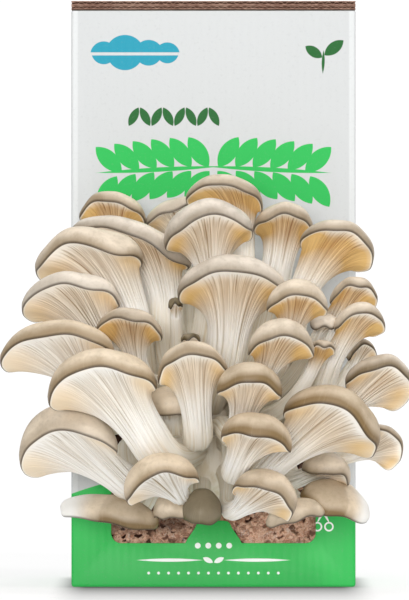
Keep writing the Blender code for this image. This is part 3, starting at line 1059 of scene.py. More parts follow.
def add_ball(segments: int, rings: int) -> Object:
    """Add a ball of radius 1, to wrap round something.

    Args:
        segments: how many points go round it.
        rings: how many steps there are from pole to pole.

    Returns:
        The ball.
    """
    deselect()
    bpy.ops.mesh.primitive_uv_sphere_add(segments=segments, ring_count=rings, radius=1.0)
    return bpy.context.object


def read_points(mesh: Mesh) -> np.ndarray:
    """Read where a mesh's vertices are.

    Args:
        mesh: the mesh.

    Returns:
        Their places, one to a row.
    """
    points = np.zeros(len(mesh.vertices) * 3)
    mesh.vertices.foreach_get("co", points)
    return points.reshape(-1, 3)


def move_points(mesh: Mesh, points: np.ndarray) -> None:
    """Put a mesh's vertices in new places."""
    mesh.vertices.foreach_set("co", points.ravel())
    mesh.update()


def face_outwards() -> None:
    """Turn the faces of the active object outwards."""
    bpy.ops.object.mode_set(mode="EDIT")
    bpy.ops.mesh.select_all(action="SELECT")
    bpy.ops.mesh.normals_make_consistent(inside=False)
    bpy.ops.object.mode_set(mode="OBJECT")


def finish_piece(piece: Object, name: str, materials: Sequence[Material],
                 node: str, smooth_angle: float | None = None) -> Object:
    """Turn a piece that was modelled in millimetres into a finished one.

    Args:
        piece: the piece, unturned at the origin.
        name: its name.
        materials: its materials, which its faces may already name by number.
        node: the frame's node that it stands for.
        smooth_angle: the angle in degrees over which edges stay sharp, or None if all is smooth.

    Returns:
        The piece.
    """
    deselect()
    piece.select_set(True)
    bpy.context.view_layer.objects.active = piece
    piece.data.transform(Matrix.Diagonal((MM, MM, MM, 1.0)))
    if smooth_angle is None:
        bpy.ops.object.shade_smooth()
    else:
        bpy.ops.object.shade_smooth_by_angle(angle=math.radians(smooth_angle))
    piece.name = name
    piece.data.name = name
    for material in materials:
        piece.data.materials.append(material)
    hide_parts(node)
    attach(piece, BODY)
    deselect()
    log.info("%s: %d faces", name, len(piece.data.polygons))
    return piece


def store(mesh: Mesh, name: str, values: np.ndarray) -> None:
    """Keep a number or a vector for each vertex of a mesh, for its material to read.

    Args:
        mesh: the mesh.
        name: what the material knows it by.
        values: one number or vector for each vertex.
    """
    kind = "FLOAT_VECTOR" if values.ndim == 2 else "FLOAT"
    attribute = mesh.attributes.new(name, kind, "POINT")
    attribute.data.foreach_set("vector" if values.ndim == 2 else "value", values.astype(np.float32).ravel())


class MushroomMesh:
    """The fine surface of one mushroom, as rings from the top of its cap to the foot of its stem."""

    def __init__(self, mushroom: Mushroom, seed: int) -> None:
        """Work out where everything is.

        Args:
            mushroom: the mushroom.
            seed: the start of its random numbers.
        """
        self.mushroom = mushroom
        self.random = np.random.default_rng(seed)
        self.half_width, self.half_depth, self.height = (
            mushroom.size[0] / 2, mushroom.size[1] / 2, mushroom.size[2])
        self.settle_axes()
        self.settle_gills()

    def settle_axes(self) -> None:
        """Work out the cap's frame, the seat of the stem and the stem's path."""
        mushroom = self.mushroom
        yaw, pitch, roll = (math.radians(angle) for angle in mushroom.turn)
        turn = Matrix.Rotation(yaw, 3, "Z") @ Matrix.Rotation(roll, 3, "Y") @ Matrix.Rotation(-pitch, 3, "X")
        middle = place(*mushroom.cap)
        surface, normal = base_point(*mushroom.foot)
        foot = surface + normal * FOOT_GAP
        seat = middle + turn @ Vector((mushroom.side * self.half_width, mushroom.seat * self.half_depth, 0.0))
        upright = turn @ Vector((0, 0, 1))
        grow = ((seat - foot).normalized() * STEM_LEAN + upright * (1.0 - STEM_LEAN)).normalized()
        seat -= upright * (SEAT_DROP * mushroom.stem[0] * math.sin(grow.angle(upright)))
        flare = min(mushroom.flare, (seat - foot).length * MOST_FLARE)
        neck = seat - grow * flare
        handle = (neck - foot).length * STEM_HANDLE
        across = turn @ Vector((1, 0, 0))
        across = (across - grow * across.dot(grow)).normalized()
        self.turn = np.array(turn)
        self.middle, self.seat, self.neck, self.grow = (np.array(item) for item in (middle, seat, neck, grow))
        self.across, self.back = np.array(across), np.array(grow.cross(across).normalized())
        self.flare = flare
        sunk = surface - normal * FOOT_SINK
        self.path = [np.array(item) for item in (neck, neck - grow * handle, foot + normal * handle, sunk)]

    def settle_gills(self) -> None:
        """Choose the gills: how many, how wide each is, and how deep and how far each groove runs."""
        girth = math.pi * (self.half_width + self.half_depth)
        self.gills = 4 * max(FEWEST_GILLS // 4, round(girth / GILL_SPACING / 4))
        self.segments = VERTS_PER_GILL * self.gills
        self.gill_place = np.arange(self.segments) / VERTS_PER_GILL
        widths = 0.55 + 0.9 * self.random.random(self.gills)
        starts = np.concatenate(([0.0], np.cumsum(widths))) * math.tau / widths.sum()
        self.angles = np.interp(self.gill_place, np.arange(self.gills + 1), starts)
        self.strength = 0.35 + 0.65 * self.random.random(self.gills)
        self.reach = self.random.random(self.gills)
        self.cosine, self.sine = np.cos(self.angles), np.sin(self.angles)
        self.rim_wave = self.waves((2, 3, 4, 5, 7))
        self.edge_wave = self.waves((3, 5, 8, 11))
        self.stem_wave = self.waves((3, 5, 7, 9, 13))
        self.fold = np.zeros(self.segments)
        for angle, width, lift in self.mushroom.folds:
            away = np.angle(np.exp(1j * (self.angles + math.radians(angle)))) / math.radians(width)
            self.fold += lift * np.exp(-away ** 2)

    def waves(self, counts: Sequence[int]) -> np.ndarray:
        """Return a mix of waves round the mushroom, between about -1 and 1.

        Args:
            counts: how many waves there are of each length.

        Returns:
            Their height at each point of a ring.
        """
        total = np.zeros(self.segments)
        for count in counts:
            phase = self.random.random() * math.tau
            total += np.sin(count * self.angles + phase) * (0.5 + self.random.random() * 0.5)
        return total / math.sqrt(len(counts))

    def cap_ring(self, radial: float, lift: float) -> np.ndarray:
        """Return a ring of the cap, with the cap's droop, waves, folds and taper.

        Args:
            radial: its radius, as a share of the rim's.
            lift: its height over the rim.

        Returns:
            Its points.
        """
        taper = self.mushroom.taper
        notch = 1.0 - BACK_NOTCH * np.maximum(0.0, self.sine) ** 2
        notch *= 1.0 - abs(taper) * (1.0 - math.copysign(1.0, taper) * self.cosine) / 2
        sag = -self.mushroom.droop * (radial * self.cosine) ** 2
        wave = self.mushroom.wave * self.rim_wave * radial ** 4 + self.fold * radial ** 3
        nicks = RIM_NICKS + RIM_NICKS * np.maximum(0.0, 1.0 + self.edge_wave)
        edge = radial * (1.0 - nicks * radial ** 4)
        local = np.stack((
            self.half_width * edge * self.cosine,
            self.half_depth * edge * self.sine * notch,
            lift + sag + wave,
        ), axis=1)
        return self.middle + local @ self.turn.T

    def dome_rings(self) -> list[np.ndarray]:
        """Make the rings over the rim, from the top down.

        Returns:
            The rings.
        """
        rings = []
        for station in np.linspace(HIGHEST_DOME, LOWEST_DOME, DOME_RINGS):
            rise = math.radians(station)
            radial = math.cos(rise) ** DOME_FULLNESS
            rings.append(self.cap_ring(radial, self.height * math.sin(rise) ** DOME_RISE))
        return rings

    def lip_rings(self) -> list[np.ndarray]:
        """Make the rounded edge of the cap, which curls in to the rim.

        Returns:
            The rings.
        """
        rise = math.radians(LOWEST_DOME)
        radial = math.cos(rise) ** DOME_FULLNESS
        lift = self.height * math.sin(rise) ** DOME_RISE
        inner = 1.0 - RIM_CURL
        corners = [np.array(item) for item in (
            (radial, lift), (radial + 0.002, lift * 0.45), (radial - 0.006, 0.0), (inner, 0.0))]
        shares = np.arange(1, LIP_RINGS + 1) / LIP_RINGS
        return [self.cap_ring(*bezier(corners, share)) for share in shares]

    def flare_rings(self) -> list[np.ndarray]:
        """Make the gilled underside, from the rim to the neck.

        Returns:
            The rings.
        """
        left, right = self.mushroom.hollow
        rim = self.cap_ring(1.0 - RIM_CURL, 0.0)
        reach = left + (right - left) * (1.0 + self.cosine) / 2
        reach *= 1.0 - BACK_FILL * np.maximum(0.0, self.sine)
        radius = self.mushroom.stem[0]
        neck = self.neck + radius * (self.cosine[:, None] * self.across + self.sine[:, None] * self.back)
        inward = rim + (self.seat - rim) * reach[:, None]
        upward = neck + self.grow * (self.flare * NECK_HANDLE)
        shares = np.arange(1, FLARE_RINGS + 1) / FLARE_RINGS
        return [bezier((rim, inward, upward, neck), share) for share in shares ** FLARE_CROWDING]

    def stem_rings(self) -> list[np.ndarray]:
        """Make the stem, from under the neck to the foot.

        Returns:
            The rings.
        """
        start, low = self.mushroom.stem
        rings = []
        for step in range(1, STEM_RINGS + 1):
            share = step / STEM_RINGS
            above, below = bezier(self.path, share - 0.01), bezier(self.path, min(1.0, share + 0.01))
            along = Vector(above - below).normalized()
            turn = np.array(Vector(self.grow).rotation_difference(along).to_matrix())
            across, back = turn @ self.across, turn @ self.back
            radius = start + (low * self.mushroom.swell - start) * share
            ridges = radius * (1.0 + STEM_RIDGES * self.stem_wave * float(smooth_step(share, 0.0, 0.4)))
            rings.append(bezier(self.path, share)
                         + ridges[:, None] * (self.cosine[:, None] * across + self.sine[:, None] * back))
        return rings

    def build(self, material: Material) -> Object:
        """Make the mushroom.

        Args:
            material: the flesh.

        Returns:
            The finished piece.
        """
        groups = (self.dome_rings(), self.lip_rings(), self.flare_rings(), self.stem_rings())
        grid = np.array([ring for group in groups for ring in group])
        cap_rings = DOME_RINGS + LIP_RINGS
        down = np.concatenate((
            np.zeros(cap_rings),
            (np.arange(FLARE_RINGS) + 1) / FLARE_RINGS,
            1.0 + (np.arange(STEM_RINGS) + 1) / STEM_RINGS,
        ))
        top = self.middle + self.turn @ np.array((0.0, 0.0, self.height))
        start = np.broadcast_to(top, (1, self.segments, 3))
        length = np.cumsum(np.linalg.norm(np.diff(grid, axis=0, prepend=start), axis=2), axis=0)
        from_rim = length - length[cap_rings - 1]
        hollow = self.carve_gills(grid, down)
        return self.make_piece(grid, top, down, from_rim, hollow, material)

    def carve_gills(self, grid: np.ndarray, down: np.ndarray) -> np.ndarray:
        """Press the grooves between the gills into the rings. All are there at the rim, and few at the stem.

        Args:
            grid: the rings, which are changed.
            down: the way down of each ring.

        Returns:
            How deep each point lies between the gills, from 0 to 1.
        """
        along = np.gradient(grid, axis=0)
        around = np.roll(grid, -1, axis=1) - np.roll(grid, 1, axis=1)
        normal = np.cross(along, around)
        normal /= np.maximum(np.linalg.norm(normal, axis=2, keepdims=True), 1e-9)
        way = down[:, None]
        deep = np.zeros(grid.shape[:2])
        for groove in GROOVES:
            nearest = np.rint((self.gill_place - groove.first) / groove.stride) * groove.stride + groove.first
            gill = nearest.astype(int) % self.gills
            width = groove.narrow + (groove.wide - groove.narrow) * smooth_step(way, 0.15, 0.9)
            shape = np.exp(-(np.abs(self.gill_place - nearest) / width) ** 1.5)
            end = groove.ends[0] + (groove.ends[1] - groove.ends[0]) * self.reach[gill]
            runs = 1.0 - smooth_step(way - end, -0.3, 0.0)
            deep = np.maximum(deep, shape * runs * self.strength[gill])
        lobes = SMOOTH_LOBES * smooth_step(np.abs(self.cosine), 0.45, 0.95)[None, :]
        lobes = lobes * (1.0 - smooth_step(way, 0.3, 0.8))
        deep *= smooth_step(way, 0.0, 0.12) * (1.0 - lobes)
        size = min(1.0, 0.45 + 0.55 * self.half_width / BROAD_CAP)
        grid -= normal * (deep * GILL_DEPTH * size)[:, :, None]
        return deep

    def make_piece(self, grid: np.ndarray, top: np.ndarray, down: np.ndarray, from_rim: np.ndarray,
                   hollow: np.ndarray, material: Material) -> Object:
        """Wrap a ball round the rings, so that its poles are the top and the foot.

        Args:
            grid: the rings.
            top: the top of the cap.
            down: the way down of each ring.
            from_rim: how far each point is from the rim.
            hollow: how deep each point lies between the gills.
            material: the flesh.

        Returns:
            The finished piece.
        """
        rings = len(grid)
        piece = add_ball(self.segments, rings + 1)
        mesh = piece.data
        ball = read_points(mesh)
        ring = np.rint(np.arccos(np.clip(ball[:, 2], -1, 1)) * (rings + 1) / math.pi).astype(int)
        spoke = np.rint(np.arctan2(ball[:, 1], ball[:, 0]) * self.segments / math.tau)
        spoke = spoke.astype(int) % self.segments
        inner = np.clip(ring - 1, 0, rings - 1)
        is_top, is_foot = ring == 0, ring == rings + 1
        points = grid[inner, spoke]
        points[is_top] = top
        points[is_foot] = self.path[3]
        move_points(mesh, points)
        store(mesh, "tint", self.tints(points))
        way = down[inner]
        turns = np.stack((self.cosine[spoke], self.sine[spoke], way + self.random.random() * 50.0), axis=1)
        store(mesh, "from_rim", np.where(is_top, from_rim[0].min() - 1.0, from_rim[inner, spoke]))
        store(mesh, "down", way)
        store(mesh, "reach", np.full(len(points), min(1.0, 0.15 + self.half_width / BROAD_CAP)))
        store(mesh, "hollow", hollow[inner, spoke])
        store(mesh, "around", turns)
        name = self.mushroom.name
        return finish_piece(piece, "oyster_" + name, [material], "mushroom_" + name)

    def tints(self, points: np.ndarray) -> np.ndarray:
        """Return the tint at each of the points.

        Args:
            points: the points.

        Returns:
            The tone's own tint, varied a little for the mushroom, with painted highlight and shade across its
            cap.
        """
        tint = self.mushroom.tone.value
        vary = (self.random.random(3) - 0.5) * TINT_SPREAD
        tints = np.tile(np.array((tint.grey, tint.dark, tint.amber)) + vary, (len(points), 1))
        # painted highlight and shade: the cap's tint leans paler at one end and darker at the other
        across = ((points - self.middle) @ self.turn)[:, 0] / self.half_width
        lean = self.mushroom.shade * np.clip(across, -1.0, 1.0)
        tints[:, 1] += np.where(lean < 0.0, lean, np.minimum(lean * 0.5, DARKEST_SHADE))
        return tints


@dataclass(frozen=True)
class Cluster:
    """All the mushrooms and the fused foot that they grow from.

    segments: how many points go round the foot.
    rings: how many rings it has.
    body: how large it is between the stems, as a share of the frame's.
    swell: how much larger it is under a stem.
    spread: how wide each of those swells is, in radians.
    """

    segments: int = 128
    rings: int = 72
    body: float = 0.94
    swell: float = 0.075
    spread: float = 0.16

    def build(self) -> list[Object]:
        """Make every mushroom and the foot.

        Returns:
            The finished pieces.
        """
        flesh = Flesh().material()
        pieces = [MushroomMesh(mushroom, seed).build(flesh) for seed, mushroom in enumerate(MUSHROOMS)]
        return pieces + [self.build_foot(flesh)]

    def build_foot(self, flesh: Material) -> Object:
        """Make the fused foot: half an egg that swells towards each stem, with a flat back on the block.

        Args:
            flesh: its material.

        Returns:
            The finished piece.
        """
        piece = add_ball(self.segments, self.rings)
        mesh = piece.data
        ball = read_points(mesh)
        swell = np.zeros(len(ball))
        middle = np.array(place(*BASE_MIDDLE))
        radii = np.array(BASE_RADII)
        for mushroom in MUSHROOMS:
            point = (np.array(base_point(*mushroom.foot)[0]) - middle) / radii
            away = np.arccos(np.clip(ball @ (point / np.linalg.norm(point)), -1, 1))
            swell = np.maximum(swell, np.exp(-(away / self.spread) ** 2))
        points = middle + ball * radii * (self.body + self.swell * swell)[:, None]
        points[:, 1] = np.minimum(points[:, 1], BOARD - FRONT)
        move_points(mesh, points)
        count = len(points)
        store(mesh, "from_rim", np.full(count, 30.0))
        store(mesh, "down", np.full(count, 2.0))
        store(mesh, "reach", np.ones(count))
        # painted shade: a high hollow between the stems' swells makes the flesh darker there
        store(mesh, "hollow", (1.0 - swell) * 0.6)
        store(mesh, "around", ball * 0.8)
        store(mesh, "tint", np.tile((0.3, 0.3, 0.2), (count, 1)))
        return finish_piece(piece, "fused_foot", [flesh], "stem_base")


# The carton


class Ply(Enum):
    """The flaps that close the top, each with how many others lie over it."""

    OUTER = 0
    INNER = 1


@dataclass(frozen=True)
class Carton:
    """The folded and glued carton: a shell with a window, and two flaps that close its top.

    corner: the radius of the window's corners.
    liner: how thick each outer sheet of the board is.
    flute_sheet: how thick the wavy sheet between them is.
    recess: how deep its waves can be seen from a cut edge.
    gap: the clearance between pieces.
    seam: how wide the slits are where edges of the blank meet.
    glue_lap: how far the seam of the back is from its edge.
    """

    fold_radius: float = 1.2
    edge_rounding: float = 0.12
    corner: float = 4.0
    corner_steps: int = 6
    tab_base: float = 11.3
    tab_top: float = 6.5
    tab_height: float = 9.0
    tab_rounding: float = 2.2
    liner: float = 0.3
    flute_steps: int = 10
    flute_sheet: float = 0.16
    flute_inset: float = 0.12
    recess: float = 0.8
    gap: float = 0.1
    seam: float = 0.35
    glue_lap: float = 9.0

    def build(self) -> list[Object]:
        """Make the shell and the flaps.

        Returns:
            The finished pieces.
        """
        materials = [PrintedBoard().material(), Kraft().material()]
        flaps = [self.build_flap(ply, materials) for ply in Ply]
        return [self.build_shell(materials)] + flaps

    def box(self, low: Sequence[float], high: Sequence[float]) -> Object:
        """Add a box between two corners.

        Args:
            low: its lowest corner.
            high: its highest corner.

        Returns:
            The box.
        """
        deselect()
        middle = [(first + second) / 2 for first, second in zip(low, high)]
        size = [second - first for first, second in zip(low, high)]
        bpy.ops.mesh.primitive_cube_add(size=1.0, location=middle, scale=size)
        bpy.ops.object.transform_apply(location=True, rotation=True, scale=True)
        return bpy.context.object

    def modify(self, item: Object, kind: str, **settings: object) -> None:
        """Add a modifier to an object and apply it.

        Args:
            item: the object.
            kind: the modifier's type.
            settings: its properties.
        """
        deselect()
        item.select_set(True)
        bpy.context.view_layer.objects.active = item
        modifier = item.modifiers.new("step", kind)
        for key, value in settings.items():
            setattr(modifier, key, value)
        bpy.ops.object.modifier_apply(modifier=modifier.name)

    def cut(self, item: Object, cutter: Object) -> None:
        """Cut one object out of another and remove the cutter."""
        self.modify(item, "BOOLEAN", operation="DIFFERENCE", solver="EXACT", object=cutter)
        bpy.data.objects.remove(cutter, do_unlink=True)

    def round_corner(self, middle: tuple[float, float], start: float) -> list[tuple[float, float]]:
        """Return a corner of the window, as a quarter of a circle, anticlockwise.

        Args:
            middle: the middle of the circle.
            start: the angle in degrees where it starts.

        Returns:
            Its points.
        """
        angles = np.radians(np.linspace(start, start + 90.0, self.corner_steps + 1)).tolist()
        return [(middle[0] + self.corner * math.cos(angle), middle[1] + self.corner * math.sin(angle))
                for angle in angles]

    def window_outline(self) -> list[tuple[float, float]]:
        """Draw the outline of the window, with its tab.

        Returns:
            Its points, as (right, up), anticlockwise.
        """
        sill, crest, shoulder = WINDOW_SILL, WINDOW_SILL + self.tab_height, self.tab_rounding
        half = [
            (self.tab_top - shoulder, crest),
            (self.tab_top - shoulder * 0.35, crest - shoulder * 0.14),
            (self.tab_top + shoulder * 0.08, crest - shoulder * 0.55),
            (self.tab_top + shoulder * 0.5, crest - shoulder * 1.5),
            (self.tab_base - shoulder * 0.4, sill + shoulder * 0.8),
            (self.tab_base, sill),
        ]
        right = WINDOW_HALF_WIDTH - self.corner
        half += self.round_corner((right, sill + self.corner), -90.0)
        half += self.round_corner((right, WINDOW_TOP - self.corner), 0.0)
        return half + [(-right, up) for right, up in reversed(half)]

    def window_cutter(self) -> Object:
        """Make a thick plate with the window's outline, to cut with.

        Returns:
            The plate.
        """
        outline = self.window_outline()
        mesh = bpy.data.meshes.new("window")
        mesh.from_pydata([(right, -FRONT - BOARD, up) for right, up in outline], [], [range(len(outline))])
        cutter = add_object("window", mesh)
        self.modify(cutter, "SOLIDIFY", thickness=3 * BOARD, offset=-1.0, use_even_offset=False)
        return cutter

    def build_shell(self, materials: Sequence[Material]) -> Object:
        """Make the walls and the bottom, with rounded vertical folds and the window.

        Args:
            materials: the printed and the raw board.

        Returns:
            The finished shell.
        """
        rim = TOP - 2 * BOARD
        shell = self.box((-HALF_WIDTH, -FRONT, 0.0), (HALF_WIDTH, FRONT, rim))
        bpy.ops.object.mode_set(mode="EDIT")
        bpy.ops.mesh.select_all(action="DESELECT")
        bpy.ops.object.mode_set(mode="OBJECT")
        for edge in shell.data.edges:
            first, second = (shell.data.vertices[index].co for index in edge.vertices)
            edge.select = abs(first.z - second.z) > BOARD
        bpy.ops.object.mode_set(mode="EDIT")
        bpy.ops.mesh.bevel(offset=self.fold_radius, segments=5, affect="EDGES")
        bpy.ops.object.mode_set(mode="OBJECT")
        inner = HALF_WIDTH - BOARD
        self.cut(shell, self.box((-inner, BOARD - FRONT, BOARD), (inner, FRONT - BOARD, TOP)))
        self.cut(shell, self.window_cutter())
        slit = self.seam / 2
        self.cut(shell, self.box((-HALF_WIDTH, -slit, -BOARD), (HALF_WIDTH, slit, self.seam)))
        lap = HALF_WIDTH - self.glue_lap
        self.cut(shell, self.box((lap - slit, FRONT - self.seam, -BOARD), (lap + slit, FRONT + BOARD, TOP)))
        self.modify(shell, "BEVEL", width=self.edge_rounding, segments=2, limit_method="ANGLE",
                    angle_limit=math.radians(50))
        self.name_raw_faces(shell)
        return finish_piece(shell, "carton_shell", materials, "carton", smooth_angle=40.0)

    def name_raw_faces(self, shell: Object) -> None:
        """Give the cut edges and the inside the second material.

        Args:
            shell: the walls and the bottom.
        """
        near, beside, rim = 0.05, 0.5, TOP - 2 * BOARD - 0.02
        for face in shell.data.polygons:
            middle = face.center
            inside = (abs(middle.x) < HALF_WIDTH - BOARD + near and abs(middle.y) < FRONT - BOARD + near
                      and middle.z > BOARD - near)
            in_window = (abs(middle.x) < WINDOW_HALF_WIDTH + beside
                         and WINDOW_SILL - beside < middle.z < WINDOW_TOP + beside)
            sunk = in_window and 2 * near - FRONT < middle.y < BOARD - FRONT and abs(face.normal.y) < 0.9
            face.material_index = 1 if inside or sunk or middle.z > rim else 0

    def ribbon(self, start: Sequence[float], along: Sequence[float], length: float,
               inward: Sequence[float], low: float, high: float) -> Object:
        """Add a stretch of the wavy sheet between two liners.

        Args:
            start: where it starts, at the board's cut edge, in the plane of the floor.
            along: the direction it runs in.
            length: how long it is.
            inward: the direction into the board.
            low: the height of the lower liner's upper face.
            high: the height of the upper liner's lower face.

        Returns:
            The ribbon.
        """
        steps = round(length / FLUTE_PITCH * self.flute_steps)
        deselect()
        bpy.ops.mesh.primitive_grid_add(x_subdivisions=steps, y_subdivisions=1, size=1.0)
        item = bpy.context.object
        swing = (high - low - self.flute_sheet) / 2
        for vert in item.data.vertices:
            way = self.gap + (vert.co.x + 0.5) * (length - 2 * self.gap)
            deep = (vert.co.y + 0.5) * self.recess + self.flute_inset
            up = (low + high) / 2 + swing * math.sin(math.tau * way / FLUTE_PITCH)
            vert.co = [start[axis] + along[axis] * way + inward[axis] * deep for axis in range(2)] + [up]
        self.modify(item, "SOLIDIFY", thickness=self.flute_sheet, offset=0.0)
        return item

    def build_flap(self, ply: Ply, materials: Sequence[Material]) -> Object:
        """Make one closed flap, with the raw flutes on its front and side edges.

        Args:
            ply: which of the two.
            materials: the printed and the raw board.

        Returns:
            The finished flap.
        """
        above = ply.value
        high = TOP - above * BOARD - (self.gap if above else 0.0)
        low = TOP - (above + 1) * BOARD + self.gap
        back = FRONT - above * BOARD
        sheets = [
            self.box((-HALF_WIDTH, -FRONT, high - self.liner), (HALF_WIDTH, back, high)),
            self.box((-HALF_WIDTH, -FRONT, low), (HALF_WIDTH, back, low + self.liner)),
            self.box((self.recess - HALF_WIDTH, self.recess - FRONT, low + self.liner),
                     (HALF_WIDTH - self.recess, back, high - self.liner)),
        ]
        if ply is Ply.OUTER:
            sheets.append(self.box((-HALF_WIDTH, FRONT - BOARD, TOP - 2 * BOARD), (HALF_WIDTH, FRONT, high)))
        low += self.liner
        high -= self.liner
        depth = back + FRONT
        ribbons = [
            self.ribbon((-HALF_WIDTH, -FRONT), (1, 0), 2 * HALF_WIDTH, (0, 1), low, high),
            self.ribbon((-HALF_WIDTH, -FRONT), (0, 1), depth, (1, 0), low, high),
            self.ribbon((HALF_WIDTH, back), (0, -1), depth, (-1, 0), low, high),
        ]
        deselect()
        for item in sheets + ribbons:
            item.select_set(True)
        bpy.context.view_layer.objects.active = sheets[0]
        bpy.ops.object.join()
        flap = bpy.context.object
        face_outwards()
        for face in flap.data.polygons:
            printed = face.normal.z > 0.9 and face.center.z > TOP - 0.05 or face.center.y > FRONT - 0.05
            face.material_index = 0 if printed else 1
        name = f"carton_flap_{ply.name.lower()}"
        return finish_piece(flap, name, materials, "carton", smooth_angle=30.0)


# The growing block


@dataclass(frozen=True)
class GrowingBlock:
    """The pressed block that fills the carton, with a crumbly face in the window.

    gap: the clearance to the carton.
    cell: how fine the face is.
    margin: how far its crumbs go on behind the window's edges.
    hole_depth: how deep a hole between crumbs is.
    roughness: how uneven the crumbs themselves are.
    crack: how wide the cracks between them are.
    warp: how far their edges are bent.
    squash: how much wider than high they are.
    lumps: how many there are.
    crumbs: how many more lie loose on them.
    """

    gap: float = 0.3
    cell: float = 0.45
    margin: float = 2.0
    hole_depth: float = 2.2
    roughness: float = 0.5
    crack: float = 0.7
    warp: float = 0.35
    squash: float = 1.25
    lumps: int = 3000
    crumbs: int = 700
    seed: int = 7

    def build(self) -> list[Object]:
        """Make the block and the loose crumbs on it.

        Returns:
            The finished pieces.
        """
        material = Crumb().material()
        return [self.build_body(material), self.build_crumbs(material)]

    def relief(self, points: np.ndarray) -> tuple[np.ndarray, np.ndarray]:
        """Return how deep the face is at some places, between and on pressed crumbs of many sizes.

        Args:
            points: the places, as (right, up).

        Returns:
            The depth of each, from 0 to 1, and the random number of the crumb it is on.
        """
        random = np.random.default_rng(self.seed)
        middles = random.random((self.lumps, 2)) * (2 * WINDOW_HALF_WIDTH, WINDOW_TOP - WINDOW_SILL)
        middles += (-WINDOW_HALF_WIDTH, WINDOW_SILL)
        kinds = random.random(self.lumps)
        right, up = points.T
        bent = points + self.warp * np.stack((np.sin(up * 2.1 + right * 0.7), np.cos(right * 1.9)), axis=1)
        nearest = np.full(len(points), 1e9)
        second = np.full(len(points), 1e9)
        owner = np.zeros(len(points), int)
        for index, middle in enumerate(middles):
            away = np.hypot(bent[:, 0] - middle[0], (bent[:, 1] - middle[1]) * self.squash)
            closer = away < nearest
            second = np.where(closer, nearest, np.minimum(second, away))
            nearest = np.where(closer, away, nearest)
            owner[closer] = index
        edge = 1.0 - smooth_step(second - nearest, 0.0, self.crack)
        sunk = smooth_step(kinds[owner], 0.80, 0.86)
        return np.maximum(edge * 0.55, sunk * (1.0 - 0.5 * edge)), kinds[owner]

    def build_body(self, material: Material) -> Object:
        """Make the block, with a fine pitted grid as its front face.

        Args:
            material: the pressed sawdust.

        Returns:
            The finished block.
        """
        side, depth = HALF_WIDTH - BOARD - self.gap, FRONT - BOARD - self.gap
        low, high = BOARD + self.gap, TOP - 2 * BOARD - self.gap
        right = WINDOW_HALF_WIDTH + self.margin
        bottom, top = WINDOW_SILL - self.margin, WINDOW_TOP + self.margin
        columns, rows = round(2 * right / self.cell), round((top - bottom) / self.cell)
        deselect()
        bpy.ops.mesh.primitive_grid_add(x_subdivisions=columns, y_subdivisions=rows, size=2.0)
        piece = bpy.context.object
        mesh = piece.data
        flat = read_points(mesh)
        border = np.maximum(abs(flat[:, 0]), abs(flat[:, 1])) > 0.9999
        places = np.stack((flat[:, 0] * right, bottom + (flat[:, 1] + 1) / 2 * (top - bottom)), axis=1)
        random = np.random.default_rng(self.seed + 1)
        depths, kinds = self.relief(places)
        pits = np.where(border, 0.0, depths)
        back = pits * self.hole_depth + np.where(border, 0.0, random.random(len(places)) * self.roughness)
        sideways = (random.random((len(places), 2))[:, 0] - 0.5) * 0.3
        across = places[:, 0] + np.where(border, 0.0, sideways)
        move_points(mesh, np.stack((across, back - depth, places[:, 1]), axis=1))
        self.close_block(piece, (side, depth, low, high))
        edges = (0, len(mesh.vertices) - len(places))
        store(mesh, "pit", np.pad(pits, edges))
        store(mesh, "kind", np.pad(kinds, edges))
        return finish_piece(piece, "pressed_block", [material], "growing_block")

    def close_block(self, piece: Object, size: tuple[float, float, float, float]) -> None:
        """Extend the pitted face to the block's edges and close the block behind it.

        Args:
            piece: the pitted face.
            size: half the width, half the depth, and the lowest and highest places.
        """
        side, depth, low, high = size
        bpy.ops.object.mode_set(mode="EDIT")
        bpy.ops.mesh.select_all(action="SELECT")
        bpy.ops.mesh.region_to_loop()
        bpy.ops.mesh.extrude_edges_move()
        bpy.ops.object.mode_set(mode="OBJECT")
        chosen = [vert for vert in piece.data.vertices if vert.select]
        right = max(abs(vert.co.x) for vert in chosen)
        bottom, top = min(vert.co.z for vert in chosen), max(vert.co.z for vert in chosen)
        for vert in chosen:
            share = (vert.co.z - bottom) / (top - bottom)
            vert.co = (vert.co.x / right * side, -depth, low + share * (high - low))
        bpy.ops.object.mode_set(mode="EDIT")
        bpy.ops.mesh.extrude_edges_move(TRANSFORM_OT_translate={"value": (0, 2 * depth, 0)})
        bpy.ops.mesh.edge_face_add()
        face_outwards()

    def build_crumbs(self, material: Material) -> Object:
        """Make the loose crumbs, as copies of one small uneven lump, pressed into the face.

        Args:
            material: the pressed sawdust.

        Returns:
            All of them, as one finished piece.
        """
        deselect()
        bpy.ops.mesh.primitive_ico_sphere_add(subdivisions=1, radius=1.0)
        lump = bpy.context.object
        shape = np.array([vert.co[:] for vert in lump.data.vertices])
        faces = np.array([face.vertices[:] for face in lump.data.polygons])
        bpy.data.objects.remove(lump, do_unlink=True)
        random = np.random.default_rng(self.seed + 2)
        points, kinds, corners = [], [], []
        depth = FRONT - BOARD - self.gap
        for index in range(self.crumbs):
            right = (random.random() * 2 - 1) * (WINDOW_HALF_WIDTH - 1.0)
            up = WINDOW_SILL + 1.0 + random.random() * (WINDOW_TOP - WINDOW_SILL - 2.0)
            size = (0.45 + 0.75 * random.random() ** 2) * np.array((1.0, 0.6, 0.55 + 0.4 * random.random()))
            turn = Matrix.Rotation(random.random() * math.tau, 3, "Y")
            turn = turn @ Matrix.Rotation(random.random() - 0.5, 3, "X")
            body = (shape * (0.75 + 0.5 * random.random((len(shape), 1))) * size) @ np.array(turn).T
            points.append(body + (right, -depth + 0.35 - 0.7 * random.random(), up))
            kinds.append(np.full(len(shape), random.random()))
            corners.append(faces + index * len(shape))
        mesh = bpy.data.meshes.new("crumbs")
        mesh.from_pydata(np.concatenate(points).tolist(), [], np.concatenate(corners).tolist())
        store(mesh, "pit", np.zeros(len(mesh.vertices)))
        store(mesh, "kind", np.concatenate(kinds))
